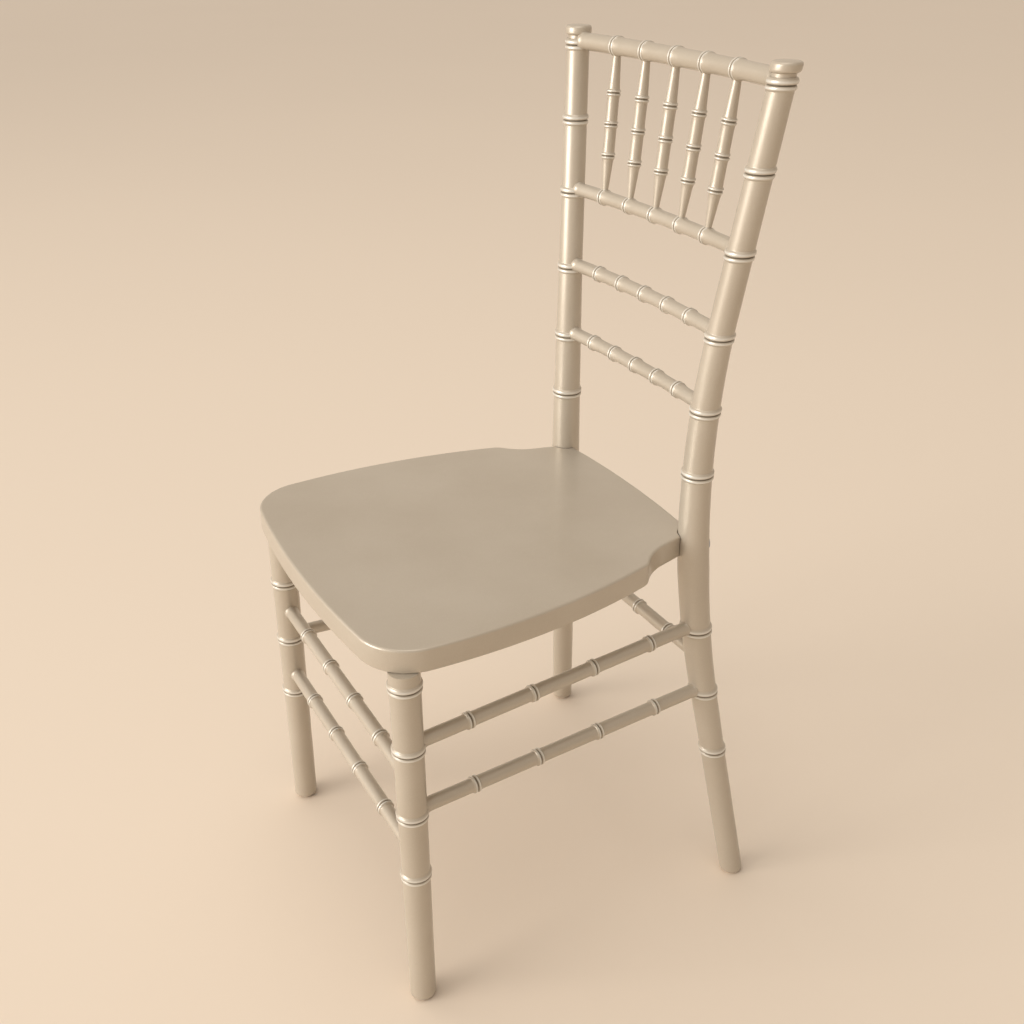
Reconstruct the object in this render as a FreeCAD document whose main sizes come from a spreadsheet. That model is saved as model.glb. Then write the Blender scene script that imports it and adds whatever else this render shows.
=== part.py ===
import FreeCAD, Part
import Sketcher
import math
import os

# A chiavari dining chair, in millimetres.
# +Z is up, the front faces -Y, and the origin lies on the floor under the middle of the chair.
# Each piece is a separate solid: bent rear posts, turned legs, rods, seat board, fixings and glides.

DRIVING_SIZES = (
    # Rear posts: one bent rod each, with its axis in an upright plane turned by the splay
    ("post_axis_x", 127.5, "post axis from the middle plane, where the post is upright"),
    ("post_axis_y", 164.5, "post axis behind the origin, where the post is upright"),
    ("post_upright_height", 502, "height where the post axis is upright"),
    ("post_bend_radius", 1188, "radius of the bend"),
    ("post_rake_above", 8.4, "lean of the straight upper part, degrees"),
    ("post_rake_below", 12.6, "lean of the straight lower part, degrees"),
    ("post_splay", 35, "turn of the bend's plane from the X axis, degrees"),
    ("post_foot_radius", 13.9, "post radius at the floor"),
    ("post_ankle_radius", 14.3, "post radius at the lowest ring"),
    ("post_seat_radius", 17.3, "post radius just under the seat"),
    ("post_shoulder_radius", 13.7, "post radius at the third rail"),
    ("post_top_radius", 12.5, "post radius at the top rail"),
    ("post_widest_height", 400, "height of the widest section"),
    ("waist_ring_height", 514.5, "ring above the seat"),
    ("ankle_ring_height", 174.5, "lowest ring of every leg"),
    ("neck_radius", 10.8, "neck between the top ring and the cap"),
    ("neck_length", 4.7, "top ring to the underside of the cap"),
    ("cap_radius", 14.1, "cap on the post"),
    ("cap_thickness", 7.6, "cap on the post, with a fully rounded edge"),
    ("cap_dome", 0.8, "rise of the cap's top"),
    # Front legs
    ("front_foot_x", 178.3, "front leg axis from the middle plane, at the floor"),
    ("front_leg_y", -188.2, "front leg axis, in front of the origin"),
    ("front_leg_lean", 1.07, "lean of the front legs towards the middle, degrees"),
    ("front_leg_top_radius", 15.6, "under the seat"),
    ("front_leg_foot_radius", 14.4, "at the floor"),
    ("collar_ring_height", 402.5, "highest ring of the front legs"),
    ("leg_tenon_radius", 11, "round tenon in the seat board"),
    ("leg_tenon_length", 16, "depth in the seat board"),
    ("foot_rounding", 3.5, "rounded lower edge of every leg"),
    # Seat board
    ("seat_height", 441.5, "top of the seat"),
    ("seat_thickness", 25, "seat board"),
    ("seat_front_y", -226, "middle of the front edge"),
    ("seat_front_bow", 8.5, "bow of the front edge"),
    ("seat_corner_start_x", 137, "end of the front edge"),
    ("seat_corner_radius", 55, "front corners"),
    ("shoulder_radius", 21, "outward curve of the shoulder"),
    ("shoulder_turn", 33.5, "how far the shoulder turns, degrees"),
    ("throat_radius", 62, "inward curve between the shoulder and the ear"),
    ("throat_turn", 34, "how far the inward curve turns, degrees"),
    ("ear_heading", 105, "ear's outer edge, turned from the X axis, degrees"),
    ("ear_length", 44.8, "ear's straight outer edge, to beside the post's axis"),
    ("ear_inset", 6, "ear's outer edge inside the post's axis"),
    ("seat_rear_bow", 7, "bow of the rear edge"),
    ("seat_top_rounding", 2.6, "upper edge"),
    ("seat_bottom_rounding", 1.5, "lower edge"),
    # Back rails, each bowed backwards, with five ringed nodes
    ("top_rail_height", 895, "top rail and the ring beside it"),
    ("second_rail_height", 744.5, "second rail and the ring beside it"),
    ("third_rail_height", 662.5, "third rail and the ring beside it"),
    ("fourth_rail_height", 584.5, "fourth rail and the ring beside it"),
    ("top_rail_bow", 9.7, "top rail"),
    ("second_rail_bow", 7, "second rail"),
    ("third_rail_bow", 7, "third rail"),
    ("fourth_rail_bow", 5.1, "fourth rail"),
    ("top_node_pitch", 49, "top rail's nodes"),
    ("second_node_pitch", 44.7, "second rail's nodes"),
    ("third_node_pitch", 41.2, "third rail's nodes"),
    ("fourth_node_pitch", 39.7, "fourth rail's nodes"),
    ("top_rail_radius", 8.8, "top rail"),
    ("lower_rail_radius", 7.2, "the three rails under it"),
    # Spindles between the top rail and the second rail
    ("spindle_radius", 6.3, "middle part"),
    ("spindle_top_radius", 4.3, "upper end"),
    ("spindle_foot_radius", 3.2, "lower end"),
    ("spindle_ring_share", 0.233, "spacing of the three rings, as a share of the free length"),
    ("spindle_seat_depth", 6, "depth of each end in its rail"),
    # Stretchers
    ("side_upper_height", 330, "upper side stretchers and the rings beside them"),
    ("side_lower_height", 251, "lower side stretchers and the rings beside them"),
    ("front_upper_height", 289.5, "upper front stretcher"),
    ("front_lower_height", 198, "lower front stretcher"),
    ("rear_stretcher_height", 290, "rear stretcher"),
    ("stretcher_radius", 7.4, "every stretcher"),
    ("front_ring_pitch", 68, "rings of the front stretchers"),
    ("side_ring_pitch", 76, "rings of the side stretchers"),
    ("rear_ring_pitch", 58, "rings of the rear stretcher"),
    # Rings: a large bead and a small bead side by side
    ("bead_radius", 2.4, "large bead of a leg's ring"),
    ("bead_rise", 1.75, "large bead above the leg"),
    ("small_bead_radius", 1.7, "small bead of a leg's ring"),
    ("small_bead_rise", 1.1, "small bead above the leg"),
    ("rod_bead_radius", 1.9, "beads of rails and stretchers"),
    ("rod_bead_rise", 1.6, "beads above a rail or stretcher"),
    ("spindle_bead_radius", 1.6, "beads of the spindles"),
    ("spindle_bead_rise", 1.3, "beads above a spindle"),
    ("groove_rise", 0.5, "groove between two beads, above the rod"),
    ("ring_sink", 0.15, "start of a ring's curve under the surface of a bent rod"),
    # Joints
    ("fit_gap", 0.3, "gap between a rod's end and its socket"),
    ("rod_tenon_radius", 5, "tenons of rails and stretchers"),
    ("rod_tenon_length", 12, "tenon beyond the rod's shoulder"),
    ("shoulder_inset", 3, "rod's shoulder under the leg's surface"),
    # Fixings between the posts and the seat
    ("bolt_radius", 3, "seat bolt shank"),
    ("bolt_length", 62, "seat bolt under its head"),
    ("bolt_head_radius", 5.5, "seat bolt head"),
    ("bolt_head_length", 4, "seat bolt head"),
    ("bolt_hex", 4, "key socket across flats"),
    ("bolt_hex_depth", 2.4, "key socket depth"),
    ("bolt_turn", 28, "bolt axis from the Y axis towards the middle, degrees"),
    ("nut_radius", 5, "cross nut"),
    ("nut_length", 15, "cross nut"),
    ("nut_rise", 4, "bolt axis under the top end of the cross nut"),
    ("bolt_past_nut", 2, "bolt's end past the cross nut"),
    # Glides under the feet
    ("glide_radius", 9.5, "glide"),
    ("glide_thickness", 2, "glide under the foot"),
    ("glide_pin_radius", 2, "glide's pin"),
    ("glide_pin_length", 14, "glide's pin"),
    ("small_chamfer", 0.8, "edges of glides and bolts"),
    ("overcut", 2, "how far a bore runs past the face it opens in"),
)

doc = FreeCAD.newDocument("chiavari_chair")
sheet = doc.addObject("Spreadsheet::Sheet", "sizes")
for row, (alias, value, meaning) in enumerate(DRIVING_SIZES, start=1):
    sheet.set(f"A{row}", meaning)
    sheet.set(f"B{row}", str(value))
    sheet.setAlias(f"B{row}", alias)
doc.recompute()


def size(alias):
    """The cell of one driving size, as written in an expression."""
    return f"sizes.{alias}"


def number(expression):
    """The value of an expression now, without its unit."""
    result = sheet.evalExpression(expression)
    return float(getattr(result, "Value", result))


def add(kind, name, **expressions):
    """A new object with its properties bound to expressions."""
    item = doc.addObject(kind, name)
    for prop, expression in expressions.items():
        item.setExpression(prop, expression)
    return item


# Points and directions are tuples of three expressions


def shifted(point, direction, distance):
    """The point a distance along a unit direction."""
    return tuple(f"({p} + ({d}) * ({distance}))" for p, d in zip(point, direction))


def vector(values):
    return "vector({}; {}; {})".format(*values)


def aimed(point, direction):
    """A placement at a point, with its local Z axis along a unit direction."""
    x, y, z = direction
    axis = vector((f"-({y})", f"{x}", "0"))
    if x == "0" and y == "0":
        axis = "vector(1; 0; 0)"
    return f"placement({vector(point)}; rotation({axis}; acos({z})))"


def span_between(start, end):
    """The distance from one point to another."""
    steps = [f"({b} - {a})" for a, b in zip(start, end)]
    return "sqrt(" + " + ".join(f"{step} * {step}" for step in steps) + ")"


def towards(start, end):
    """The unit direction from one point to another."""
    length = span_between(start, end)
    return tuple(f"(({b} - {a}) / {length})" for a, b in zip(start, end))


# The axis of the right rear post: straight, bent, straight. The left side mirrors the right.

BEND_TOP = "(sizes.post_upright_height + sizes.post_bend_radius * sin(sizes.post_rake_above))"
BEND_BOTTOM = "(sizes.post_upright_height - sizes.post_bend_radius * sin(sizes.post_rake_below))"


def post_lean(height):
    """Lean of the post's axis, outwards going up."""
    bent = f"asin(({height} - sizes.post_upright_height) / sizes.post_bend_radius)"
    below = f"({height} < {BEND_BOTTOM} ? -sizes.post_rake_below * 1 deg : {bent})"
    return f"({height} > {BEND_TOP} ? sizes.post_rake_above * 1 deg : {below})"


def post_reach(height):
    """How far the bend has carried the post's axis outwards at a height."""
    bend = size("post_bend_radius")
    rise = f"({height} - sizes.post_upright_height)"
    bent = f"({bend} - sqrt({bend} * {bend} - {rise} * {rise}))"
    up, down = size("post_rake_above"), size("post_rake_below")
    above = f"({bend} * (1 - cos({up})) + ({height} - {BEND_TOP}) * tan({up}))"
    below = f"({bend} * (1 - cos({down})) + ({BEND_BOTTOM} - {height}) * tan({down}))"
    return f"({height} > {BEND_TOP} ? {above} : ({height} < {BEND_BOTTOM} ? {below} : {bent}))"


def marker(name, point):
    """A construction point that other pieces take their place from."""
    item = add("Part::Vertex", name, X=point[0], Y=point[1], Z=point[2])
    item.recompute()
    return f"{item.Name}.X.Value", f"{item.Name}.Y.Value", f"{item.Name}.Z.Value"


def post_point(name, height):
    """A marker on the axis of the right rear post."""
    reach = post_reach(height)
    return marker(name, (
        f"sizes.post_axis_x + {reach} * cos(sizes.post_splay)",
        f"sizes.post_axis_y + {reach} * sin(sizes.post_splay)",
        height,
    ))


def post_direction(height):
    """The right post's axis, going up."""
    lean = post_lean(height)
    return f"sin({lean}) * cos(sizes.post_splay)", f"sin({lean}) * sin(sizes.post_splay)", f"cos({lean})"


def between(height, low, low_radius, high, high_radius):
    """A radius that changes evenly from one height to another."""
    return f"({low_radius} + ({high_radius} - {low_radius}) * ({height} - {low}) / ({high} - {low}))"


def post_radius(height):
    """Radius of the rear post at a height."""
    ankle, widest = size("ankle_ring_height"), size("post_widest_height")
    shoulder, top = size("third_rail_height"), size("top_rail_height")
    foot = between(height, "0", size("post_foot_radius"), ankle, size("post_ankle_radius"))
    shin = between(height, ankle, size("post_ankle_radius"), widest, size("post_seat_radius"))
    back = between(height, widest, size("post_seat_radius"), shoulder, size("post_shoulder_radius"))
    head = between(height, shoulder, size("post_shoulder_radius"), top, size("post_top_radius"))
    upper = f"({height} > {shoulder} ? {head} : {back})"
    return f"({height} < {ankle} ? {foot} : ({height} < {widest} ? {shin} : {upper}))"


# The axis of the right front leg: straight, leaning towards the middle

SEAT_FLOOR = "(sizes.seat_height - sizes.seat_thickness)"
SEAT_MIDDLE = "(sizes.seat_height - sizes.seat_thickness / 2)"


def leg_point(name, height):
    """A marker on the axis of the right front leg."""
    x = f"(sizes.front_foot_x - {height} * tan(sizes.front_leg_lean))"
    return marker(name, (x, size("front_leg_y"), height))


def leg_radius(height):
    return between(height, "0", size("front_leg_foot_radius"), SEAT_FLOOR, size("front_leg_top_radius"))


# Solids and sketches

UP = ("0", "0", "1")
OUTWARD = ("1", "0", "0")
LEVEL_MATCH = 0.01
PIECES = {}


def cylinder(name, start, direction, radius, length):
    return add("Part::Cylinder", name, Radius=radius, Height=length, Placement=aimed(start, direction))


def fused(name, shapes):
    item = doc.addObject("Part::MultiFuse", name)
    item.Shapes = shapes
    item.Refine = False
    return item


def mirrored(name, source):
    """The same shape on the other side of the chair's middle plane."""
    item = doc.addObject("Part::Mirroring", name)
    item.Source = source
    item.Normal = FreeCAD.Vector(1, 0, 0)
    return item


def finished(label, base, cuts=()):
    """The sub-part: its solid less its sockets and bores, under its own label."""
    piece = base
    if cuts:
        piece = doc.addObject("Part::Cut", label + "_piece")
        piece.Base = base
        piece.Tool = cuts[0] if len(cuts) == 1 else fused(label + "_sockets", list(cuts))
        piece.Refine = False
    piece.Label = label
    PIECES[label] = piece
    return piece


def pair(label, base, cuts=()):
    """Two sub-parts, right and left, that mirror each other."""
    right = finished(label + "_right", base, cuts)
    finished(label + "_left", mirrored(label + "_left_mirror", right))


def origin_feature(body, role):
    return next(feature for feature in body.Origin.OriginFeatures if feature.Role == role)


def sketch_arc(start, end, radius):
    """An arc that bulges to the right of start to end, or to the left where the radius is negative."""
    chord = end - start
    inward = FreeCAD.Vector(-chord.y, chord.x, 0).normalize() * math.copysign(1, radius)
    centre = (start + end) / 2 + inward * math.sqrt(radius * radius - chord.Length ** 2 / 4)
    first, last = (start, end) if radius > 0 else (end, start)
    angles = [math.atan2(point.y - centre.y, point.x - centre.x) for point in (first, last)]
    if angles[1] < angles[0]:
        angles[1] += 2 * math.pi
    return Part.ArcOfCircle(Part.Circle(centre, FreeCAD.Vector(0, 0, 1), abs(radius)), *angles)


def outline_sketch(body, name, plane, corners):
    """A closed outline whose corners are all placed by bound distances.

    Each corner is two expressions, and a third one where the edge that leaves it is an arc: the
    arc's radius, negative where it bulges to the left.
    """
    sketch = body.newObject("Sketcher::SketchObject", name)
    sketch.AttachmentSupport = (origin_feature(body, plane), [""])
    sketch.MapMode = "FlatFace"
    points = [FreeCAD.Vector(number(corner[0]), number(corner[1]), 0) for corner in corners]
    radii = [number(corner[2]) if len(corner) > 2 else 0 for corner in corners]
    count = len(points)
    for index, start in enumerate(points):
        end = points[(index + 1) % count]
        edge = sketch_arc(start, end, radii[index]) if radii[index] else Part.LineSegment(start, end)
        sketch.addGeometry(edge, False)
    first = [2 if radius < 0 else 1 for radius in radii]
    for index, corner in enumerate(corners):
        after = (index + 1) % count
        last = 3 - first[index]
        sketch.addConstraint(Sketcher.Constraint("Coincident", index, last, after, first[after]))
        for axis, expression, value in zip("XY", corner, points[index]):
            distance = Sketcher.Constraint(f"Distance{axis}", -1, 1, index, first[index], value)
            place = sketch.addConstraint(distance)
            sketch.renameConstraint(place, f"{axis}{index}")
            sketch.setExpression(f"Constraints.{axis}{index}", expression)
        if radii[index]:
            place = sketch.addConstraint(Sketcher.Constraint("Radius", index, abs(radii[index])))
            sketch.renameConstraint(place, f"radius{index}")
            sketch.setExpression(f"Constraints.radius{index}", f"abs({corner[2]})")
    return sketch


def turned(name, profile, start=None, direction=UP):
    """A body turned about its own Z axis, from a profile of radius and height pairs."""
    body = doc.addObject("PartDesign::Body", name)
    sketch = outline_sketch(body, name + "_profile", "XZ_Plane", profile)
    turning = body.newObject("PartDesign::Revolution", name + "_turning")
    turning.Profile = sketch
    turning.ReferenceAxis = (sketch, ["V_Axis"])
    turning.Angle = 360
    turning.Refine = False
    body.setExpression("Placement", aimed(start or ("0", "0", "0"), direction))
    return body


def round_rim(body, name, level, radius):
    """Round every edge of a body that lies in one level plane."""
    doc.recompute()
    base, height = body.Tip, number(level)
    rim = []
    for index, edge in enumerate(base.Shape.Edges, start=1):
        box = edge.BoundBox
        if abs(box.ZMin - height) < LEVEL_MATCH and abs(box.ZMax - height) < LEVEL_MATCH:
            rim.append(f"Edge{index}")
    fillet = body.newObject("PartDesign::Fillet", name)
    fillet.Base = (base, rim)
    fillet.Refine = False
    fillet.setExpression("Radius", radius)


def bead_size(kind=""):
    """A bead's radius in section, and its rise above the rod."""
    return size(kind + "bead_radius"), size(kind + "bead_rise")


def bead_half_width(bead, above="0"):
    """Half the width of a bead at a height above its rod."""
    tube, rise = bead
    drop = f"({tube} - {rise} + {above})"
    return f"sqrt({tube} * {tube} - {drop} * {drop})"


def turned_ring(meeting, rod_radius, lower, upper, sink="0"):
    """Two beads side by side in a turned profile, which meet in a groove above the rod."""
    groove = size("groove_rise")
    start = f"({meeting} - {bead_half_width(lower, groove)} - {bead_half_width(lower, '-' + sink)})"
    end = f"({meeting} + {bead_half_width(upper, groove)} + {bead_half_width(upper, '-' + sink)})"
    base = f"({rod_radius} - {sink})"
    return [(base, start, lower[0]), (f"({rod_radius} + {groove})", meeting, upper[0]), (base, end)]


def leg_ring(centre, rod_radius, sink="0"):
    """A large bead at a height on a leg, with a small one under it."""
    large, small = bead_size(), bead_size("small_")
    meeting = f"({centre} - {bead_half_width(large, size('groove_rise'))})"
    return turned_ring(meeting, rod_radius, small, large, sink)


def ring_body(name, centre, direction, ring):
    """A ring as a solid of its own, which a bent rod is fused with."""
    profile = [("0", ring[0][1])] + ring + [("0", ring[-1][1])]
    return turned(name, profile, centre, direction)


# Where a rod meets a leg, its tenon lies in a bore and its shoulder in a shallow seat

post_cuts = []
leg_cuts = []


def socket(name, axis_point, outward, leg_radius_there, rod_radius=size("stretcher_radius")):
    """The bore and the shoulder's seat for a rod that arrives at a leg going outward."""
    shoulder = shifted(axis_point, outward, f"-({leg_radius_there} - sizes.shoulder_inset)")
    opening = f"2 * {leg_radius_there}"
    return [
        cylinder(
            name + "_bore", shoulder, outward, "sizes.rod_tenon_radius + sizes.fit_gap",
            "sizes.rod_tenon_length + sizes.fit_gap",
        ),
        cylinder(
            name + "_seat", shifted(shoulder, outward, f"sizes.fit_gap - {opening}"), outward,
            f"{rod_radius} + sizes.fit_gap", opening,
        ),
    ]


def stretcher(name, start, end, start_leg_radius, end_leg_radius, ring_pitch):
    """A turned rod between the axes of two legs, with four rings and a tenon at each end."""
    radius, tenon = size("stretcher_radius"), size("rod_tenon_radius")
    span = span_between(start, end)
    near = f"({start_leg_radius} - sizes.shoulder_inset)"
    far = f"({span} - {end_leg_radius} + sizes.shoulder_inset)"
    profile = [("0", f"{near} - sizes.rod_tenon_length"), (tenon, f"{near} - sizes.rod_tenon_length")]
    profile += [(tenon, near), (radius, near)]
    bead = bead_size("rod_")
    for step in (-1.5, -0.5, 0.5, 1.5):
        profile += turned_ring(f"({span} / 2 + {step} * {ring_pitch})", radius, bead, bead)
    profile += [(radius, far), (tenon, far)]
    profile += [(tenon, f"{far} + sizes.rod_tenon_length"), ("0", f"{far} + sizes.rod_tenon_length")]
    return turned(name + "_rod", profile, start, towards(start, end))


def mirror_point(point):
    return f"(-{point[0]})", point[1], point[2]


for level in ("upper", "lower"):
    height = size(f"front_{level}_height")
    end = leg_point(f"front_{level}_end", height)
    name = f"front_stretcher_{level}"
    radius = leg_radius(height)
    rod = stretcher(name, mirror_point(end), end, radius, radius, size("front_ring_pitch"))
    finished(name, rod)
    leg_cuts += socket(name, end, OUTWARD, radius)

    height = size(f"side_{level}_height")
    front = leg_point(f"side_{level}_front", height)
    rear = post_point(f"side_{level}_rear", height)
    name = f"side_stretcher_{level}"
    pair(name, stretcher(name, front, rear, leg_radius(height), post_radius(height), size("side_ring_pitch")))
    leg_cuts += socket(name + "_front", front, towards(rear, front), leg_radius(height))
    post_cuts += socket(name + "_rear", rear, towards(front, rear), post_radius(height))

height = size("rear_stretcher_height")
end = post_point("rear_stretcher_end", height)
radius = post_radius(height)
rod = stretcher("rear_stretcher", mirror_point(end), end, radius, radius, size("rear_ring_pitch"))
finished("rear_stretcher", rod)
post_cuts += socket("rear_stretcher", end, OUTWARD, radius)

# Back rails: each is an arc bowed backwards between the posts, with five ringed nodes


def bow_radius(half_span, bow):
    return f"(({half_span} * {half_span} + {bow} * {bow}) / (2 * {bow}))"


def arc_point(radius, centre_y, angle, height):
    """A point on a rail's axis, by its angle from the Y axis towards the X axis."""
    return f"({radius} * sin({angle}))", f"({centre_y} + {radius} * cos({angle}))", height


def back_rail(name, rod_radius):
    """A rail's solid, its nodes' markers, and the sockets for it in the right post."""
    height, bow = size(name + "_height"), size(name + "_bow")
    pitch = size(name.replace("rail", "node_pitch"))
    end = post_point(name + "_end", height)
    arc = bow_radius(end[0], bow)
    centre_y = marker(name + "_centre", ("0", f"{end[1]} + {bow} - {arc}", height))[1]
    end_angle = f"asin({end[0]} / {arc})"
    outward = f"cos({end_angle})", f"-sin({end_angle})", "0"
    shoulder_reach = f"({post_radius(height)} - sizes.shoulder_inset) * cos({end_angle})"
    shoulder_angle = f"asin(({end[0]} - {shoulder_reach}) / {arc})"
    centre, start_turn = vector(("0", centre_y, height)), f"90 - {shoulder_angle} / 1 deg"
    rod = add(
        "Part::Torus", name + "_bend", Radius1=arc, Radius2=rod_radius, Angle3=f"2 * {shoulder_angle}",
        Placement=f"placement({centre}; rotation(vector(0; 0; 1); {start_turn}))",
    )
    solids = [rod]
    for side, label in ((-1, "left"), (1, "right")):
        angle = f"({side} * {shoulder_angle})"
        along = f"{side} * cos({angle})", f"-{side} * sin({angle})", "0"
        start = shifted(arc_point(arc, centre_y, angle, height), along, "-sizes.rod_tenon_length")
        tenon, length = size("rod_tenon_radius"), "2 * sizes.rod_tenon_length"
        solids.append(cylinder(f"{name}_tenon_{label}", start, along, tenon, length))
    nodes = []
    bead = bead_size("rod_")
    for node in range(-2, 3):
        angle = f"asin({node} * {pitch} / {arc})"
        along = f"cos({angle})", f"-sin({angle})", "0"
        point = marker(f"{name}_node_{node + 3}", arc_point(arc, centre_y, angle, height))
        ring = turned_ring("0", rod_radius, bead, bead, size("ring_sink"))
        solids.append(ring_body(f"{name}_ring_{node + 3}", point, along, ring))
        nodes.append(point)
    return fused(name + "_rod", solids), nodes, socket(name, end, outward, post_radius(height), rod_radius)


rails = {}
for name, radius in (
    ("top_rail", "top_rail_radius"),
    ("second_rail", "lower_rail_radius"),
    ("third_rail", "lower_rail_radius"),
    ("fourth_rail", "lower_rail_radius"),
):
    rail, nodes, cuts = back_rail(name, size(radius))
    rails[name] = rail, nodes
    post_cuts += cuts

# Spindles: turned, tapered towards both ends, with three rings, and seated in the two upper rails


def spindle(name, foot, top):
    depth, radius = size("spindle_seat_depth"), size("spindle_radius")
    foot_radius, top_radius = size("spindle_foot_radius"), size("spindle_top_radius")
    span = span_between(foot, top)
    foot_surface, top_surface = size("lower_rail_radius"), f"({span} - sizes.top_rail_radius)"
    profile = [("0", f"{foot_surface} - {depth}"), (foot_radius, f"{foot_surface} - {depth}")]
    profile += [(foot_radius, foot_surface)]
    bead = bead_size("spindle_")
    middle = f"({foot_surface} + {top_surface}) / 2"
    pitch = f"sizes.spindle_ring_share * ({top_surface} - {foot_surface})"
    for step in (-1, 0, 1):
        profile += turned_ring(f"({middle} + {step} * {pitch})", radius, bead, bead)
    profile += [(top_radius, top_surface), (top_radius, f"{top_surface} + {depth}")]
    profile += [("0", f"{top_surface} + {depth}")]
    return turned(name + "_rod", profile, foot, towards(foot, top))


def spindle_socket(name, node, direction, rail_radius, end_radius):
    """The blind bore in a rail for a spindle's end."""
    floor = shifted(node, direction, f"({rail_radius} - sizes.spindle_seat_depth - sizes.fit_gap)")
    length = "sizes.spindle_seat_depth + sizes.rod_bead_rise + sizes.overcut"
    return cylinder(name, floor, direction, f"{end_radius} + sizes.fit_gap", length)


rail_cuts = {"top_rail": [], "second_rail": [], "third_rail": [], "fourth_rail": []}
for count, (foot, top) in enumerate(zip(rails["second_rail"][1], rails["top_rail"][1]), start=1):
    finished(f"spindle_{count}", spindle(f"spindle_{count}", foot, top))
    rail_radius, end_radius = size("top_rail_radius"), size("spindle_top_radius")
    cut = spindle_socket(f"top_socket_{count}", top, towards(top, foot), rail_radius, end_radius)
    rail_cuts["top_rail"].append(cut)
    rail_radius, end_radius = size("lower_rail_radius"), size("spindle_foot_radius")
    cut = spindle_socket(f"foot_socket_{count}", foot, towards(foot, top), rail_radius, end_radius)
    rail_cuts["second_rail"].append(cut)
for name, (rail, _) in rails.items():
    finished(name, rail, rail_cuts[name])

# Seat bolts: each passes through a post into a cross nut in the seat board

seat_cuts = []


def seat_bolt():
    """The right seat bolt and its cross nut, with the bores for them in the post and the board."""
    along = "-sin(sizes.bolt_turn)", "-cos(sizes.bolt_turn)", "0"
    centre = post_point("seat_bolt_axis", SEAT_MIDDLE)
    post, shank, head = post_radius(SEAT_MIDDLE), size("bolt_radius"), size("bolt_head_radius")
    head_length, length = size("bolt_head_length"), size("bolt_length")
    under_head = marker("under_bolt_head", shifted(centre, along, f"{head_length} - {post}"))
    chamfer = size("small_chamfer")
    profile = [("0", f"-{head_length}"), (f"{head} - {chamfer}", f"-{head_length}")]
    profile += [(head, f"{chamfer} - {head_length}"), (head, "0"), (shank, "0")]
    profile += [(shank, f"{length} - {chamfer}"), (f"{shank} - {chamfer}", length), ("0", length)]
    blank = turned("seat_bolt_blank", profile, under_head, along)
    key_start = shifted(under_head, along, f"(-{head_length} - sizes.overcut)")
    key = add("Part::Prism", "bolt_key_socket", Placement=aimed(key_start, along))
    key.setExpression("Circumradius", "sizes.bolt_hex / sqrt(3)")
    key.setExpression("Height", "sizes.bolt_hex_depth + sizes.overcut")
    key.Polygon = 6
    pair("seat_bolt", blank, [key])

    nut_radius, nut_length = size("nut_radius"), size("nut_length")
    nut_axis = shifted(under_head, along, f"({length} - {nut_radius} - sizes.bolt_past_nut)")
    nut_floor = f"({SEAT_MIDDLE} + sizes.nut_rise - {nut_length})"
    nut_foot = marker("nut_foot", (nut_axis[0], nut_axis[1], nut_floor))
    nut = cylinder("cross_nut_blank", nut_foot, UP, nut_radius, nut_length)
    hole = f"{shank} + sizes.fit_gap"
    thread_start = shifted(nut_axis, along, f"-2 * {nut_radius}")
    pair("cross_nut", nut, [cylinder("cross_nut_thread", thread_start, along, hole, f"4 * {nut_radius}")])

    recess = shifted(under_head, along, f"(sizes.fit_gap - 2 * {post})")
    post_bores = [
        cylinder("bolt_hole", under_head, along, hole, f"4 * {post}"),
        cylinder("bolt_recess", recess, along, f"{head} + sizes.fit_gap", f"2 * {post}"),
    ]
    bore_foot = nut_foot[0], nut_foot[1], f"({SEAT_FLOOR} - sizes.overcut)"
    bore_top = f"{nut_foot[2]} + {nut_length} + sizes.fit_gap"
    board_bores = [
        cylinder("bolt_bore", centre, along, hole, f"{length} + {head_length} + sizes.fit_gap - {post}"),
        cylinder("nut_bore", bore_foot, UP, f"{nut_radius} + sizes.fit_gap", f"{bore_top} - {bore_foot[2]}"),
    ]
    return post_bores, board_bores


post_bores, board_bores = seat_bolt()
post_cuts += post_bores
seat_cuts += board_bores

# Glides: a round pad under each foot, with a pin in the leg

FOOT_PLANE = size("glide_thickness")


def foot_glide(name, foot):
    """The right glide of a pair, and the bore in the leg for its pin."""
    radius, pin, chamfer = size("glide_radius"), size("glide_pin_radius"), size("small_chamfer")
    pin_top = f"{FOOT_PLANE} + sizes.glide_pin_length"
    profile = [("0", "0"), (f"{radius} - {chamfer}", "0"), (radius, chamfer)]
    profile += [(radius, FOOT_PLANE), (pin, FOOT_PLANE)]
    profile += [(pin, pin_top), ("0", pin_top)]
    pair(name, turned(name + "_blank", profile, foot))
    return cylinder(name + "_bore", foot, UP, f"{pin} + sizes.fit_gap", f"{pin_top} + sizes.fit_gap")


# Front legs: turned, with four rings and a tenon in the seat board


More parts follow.
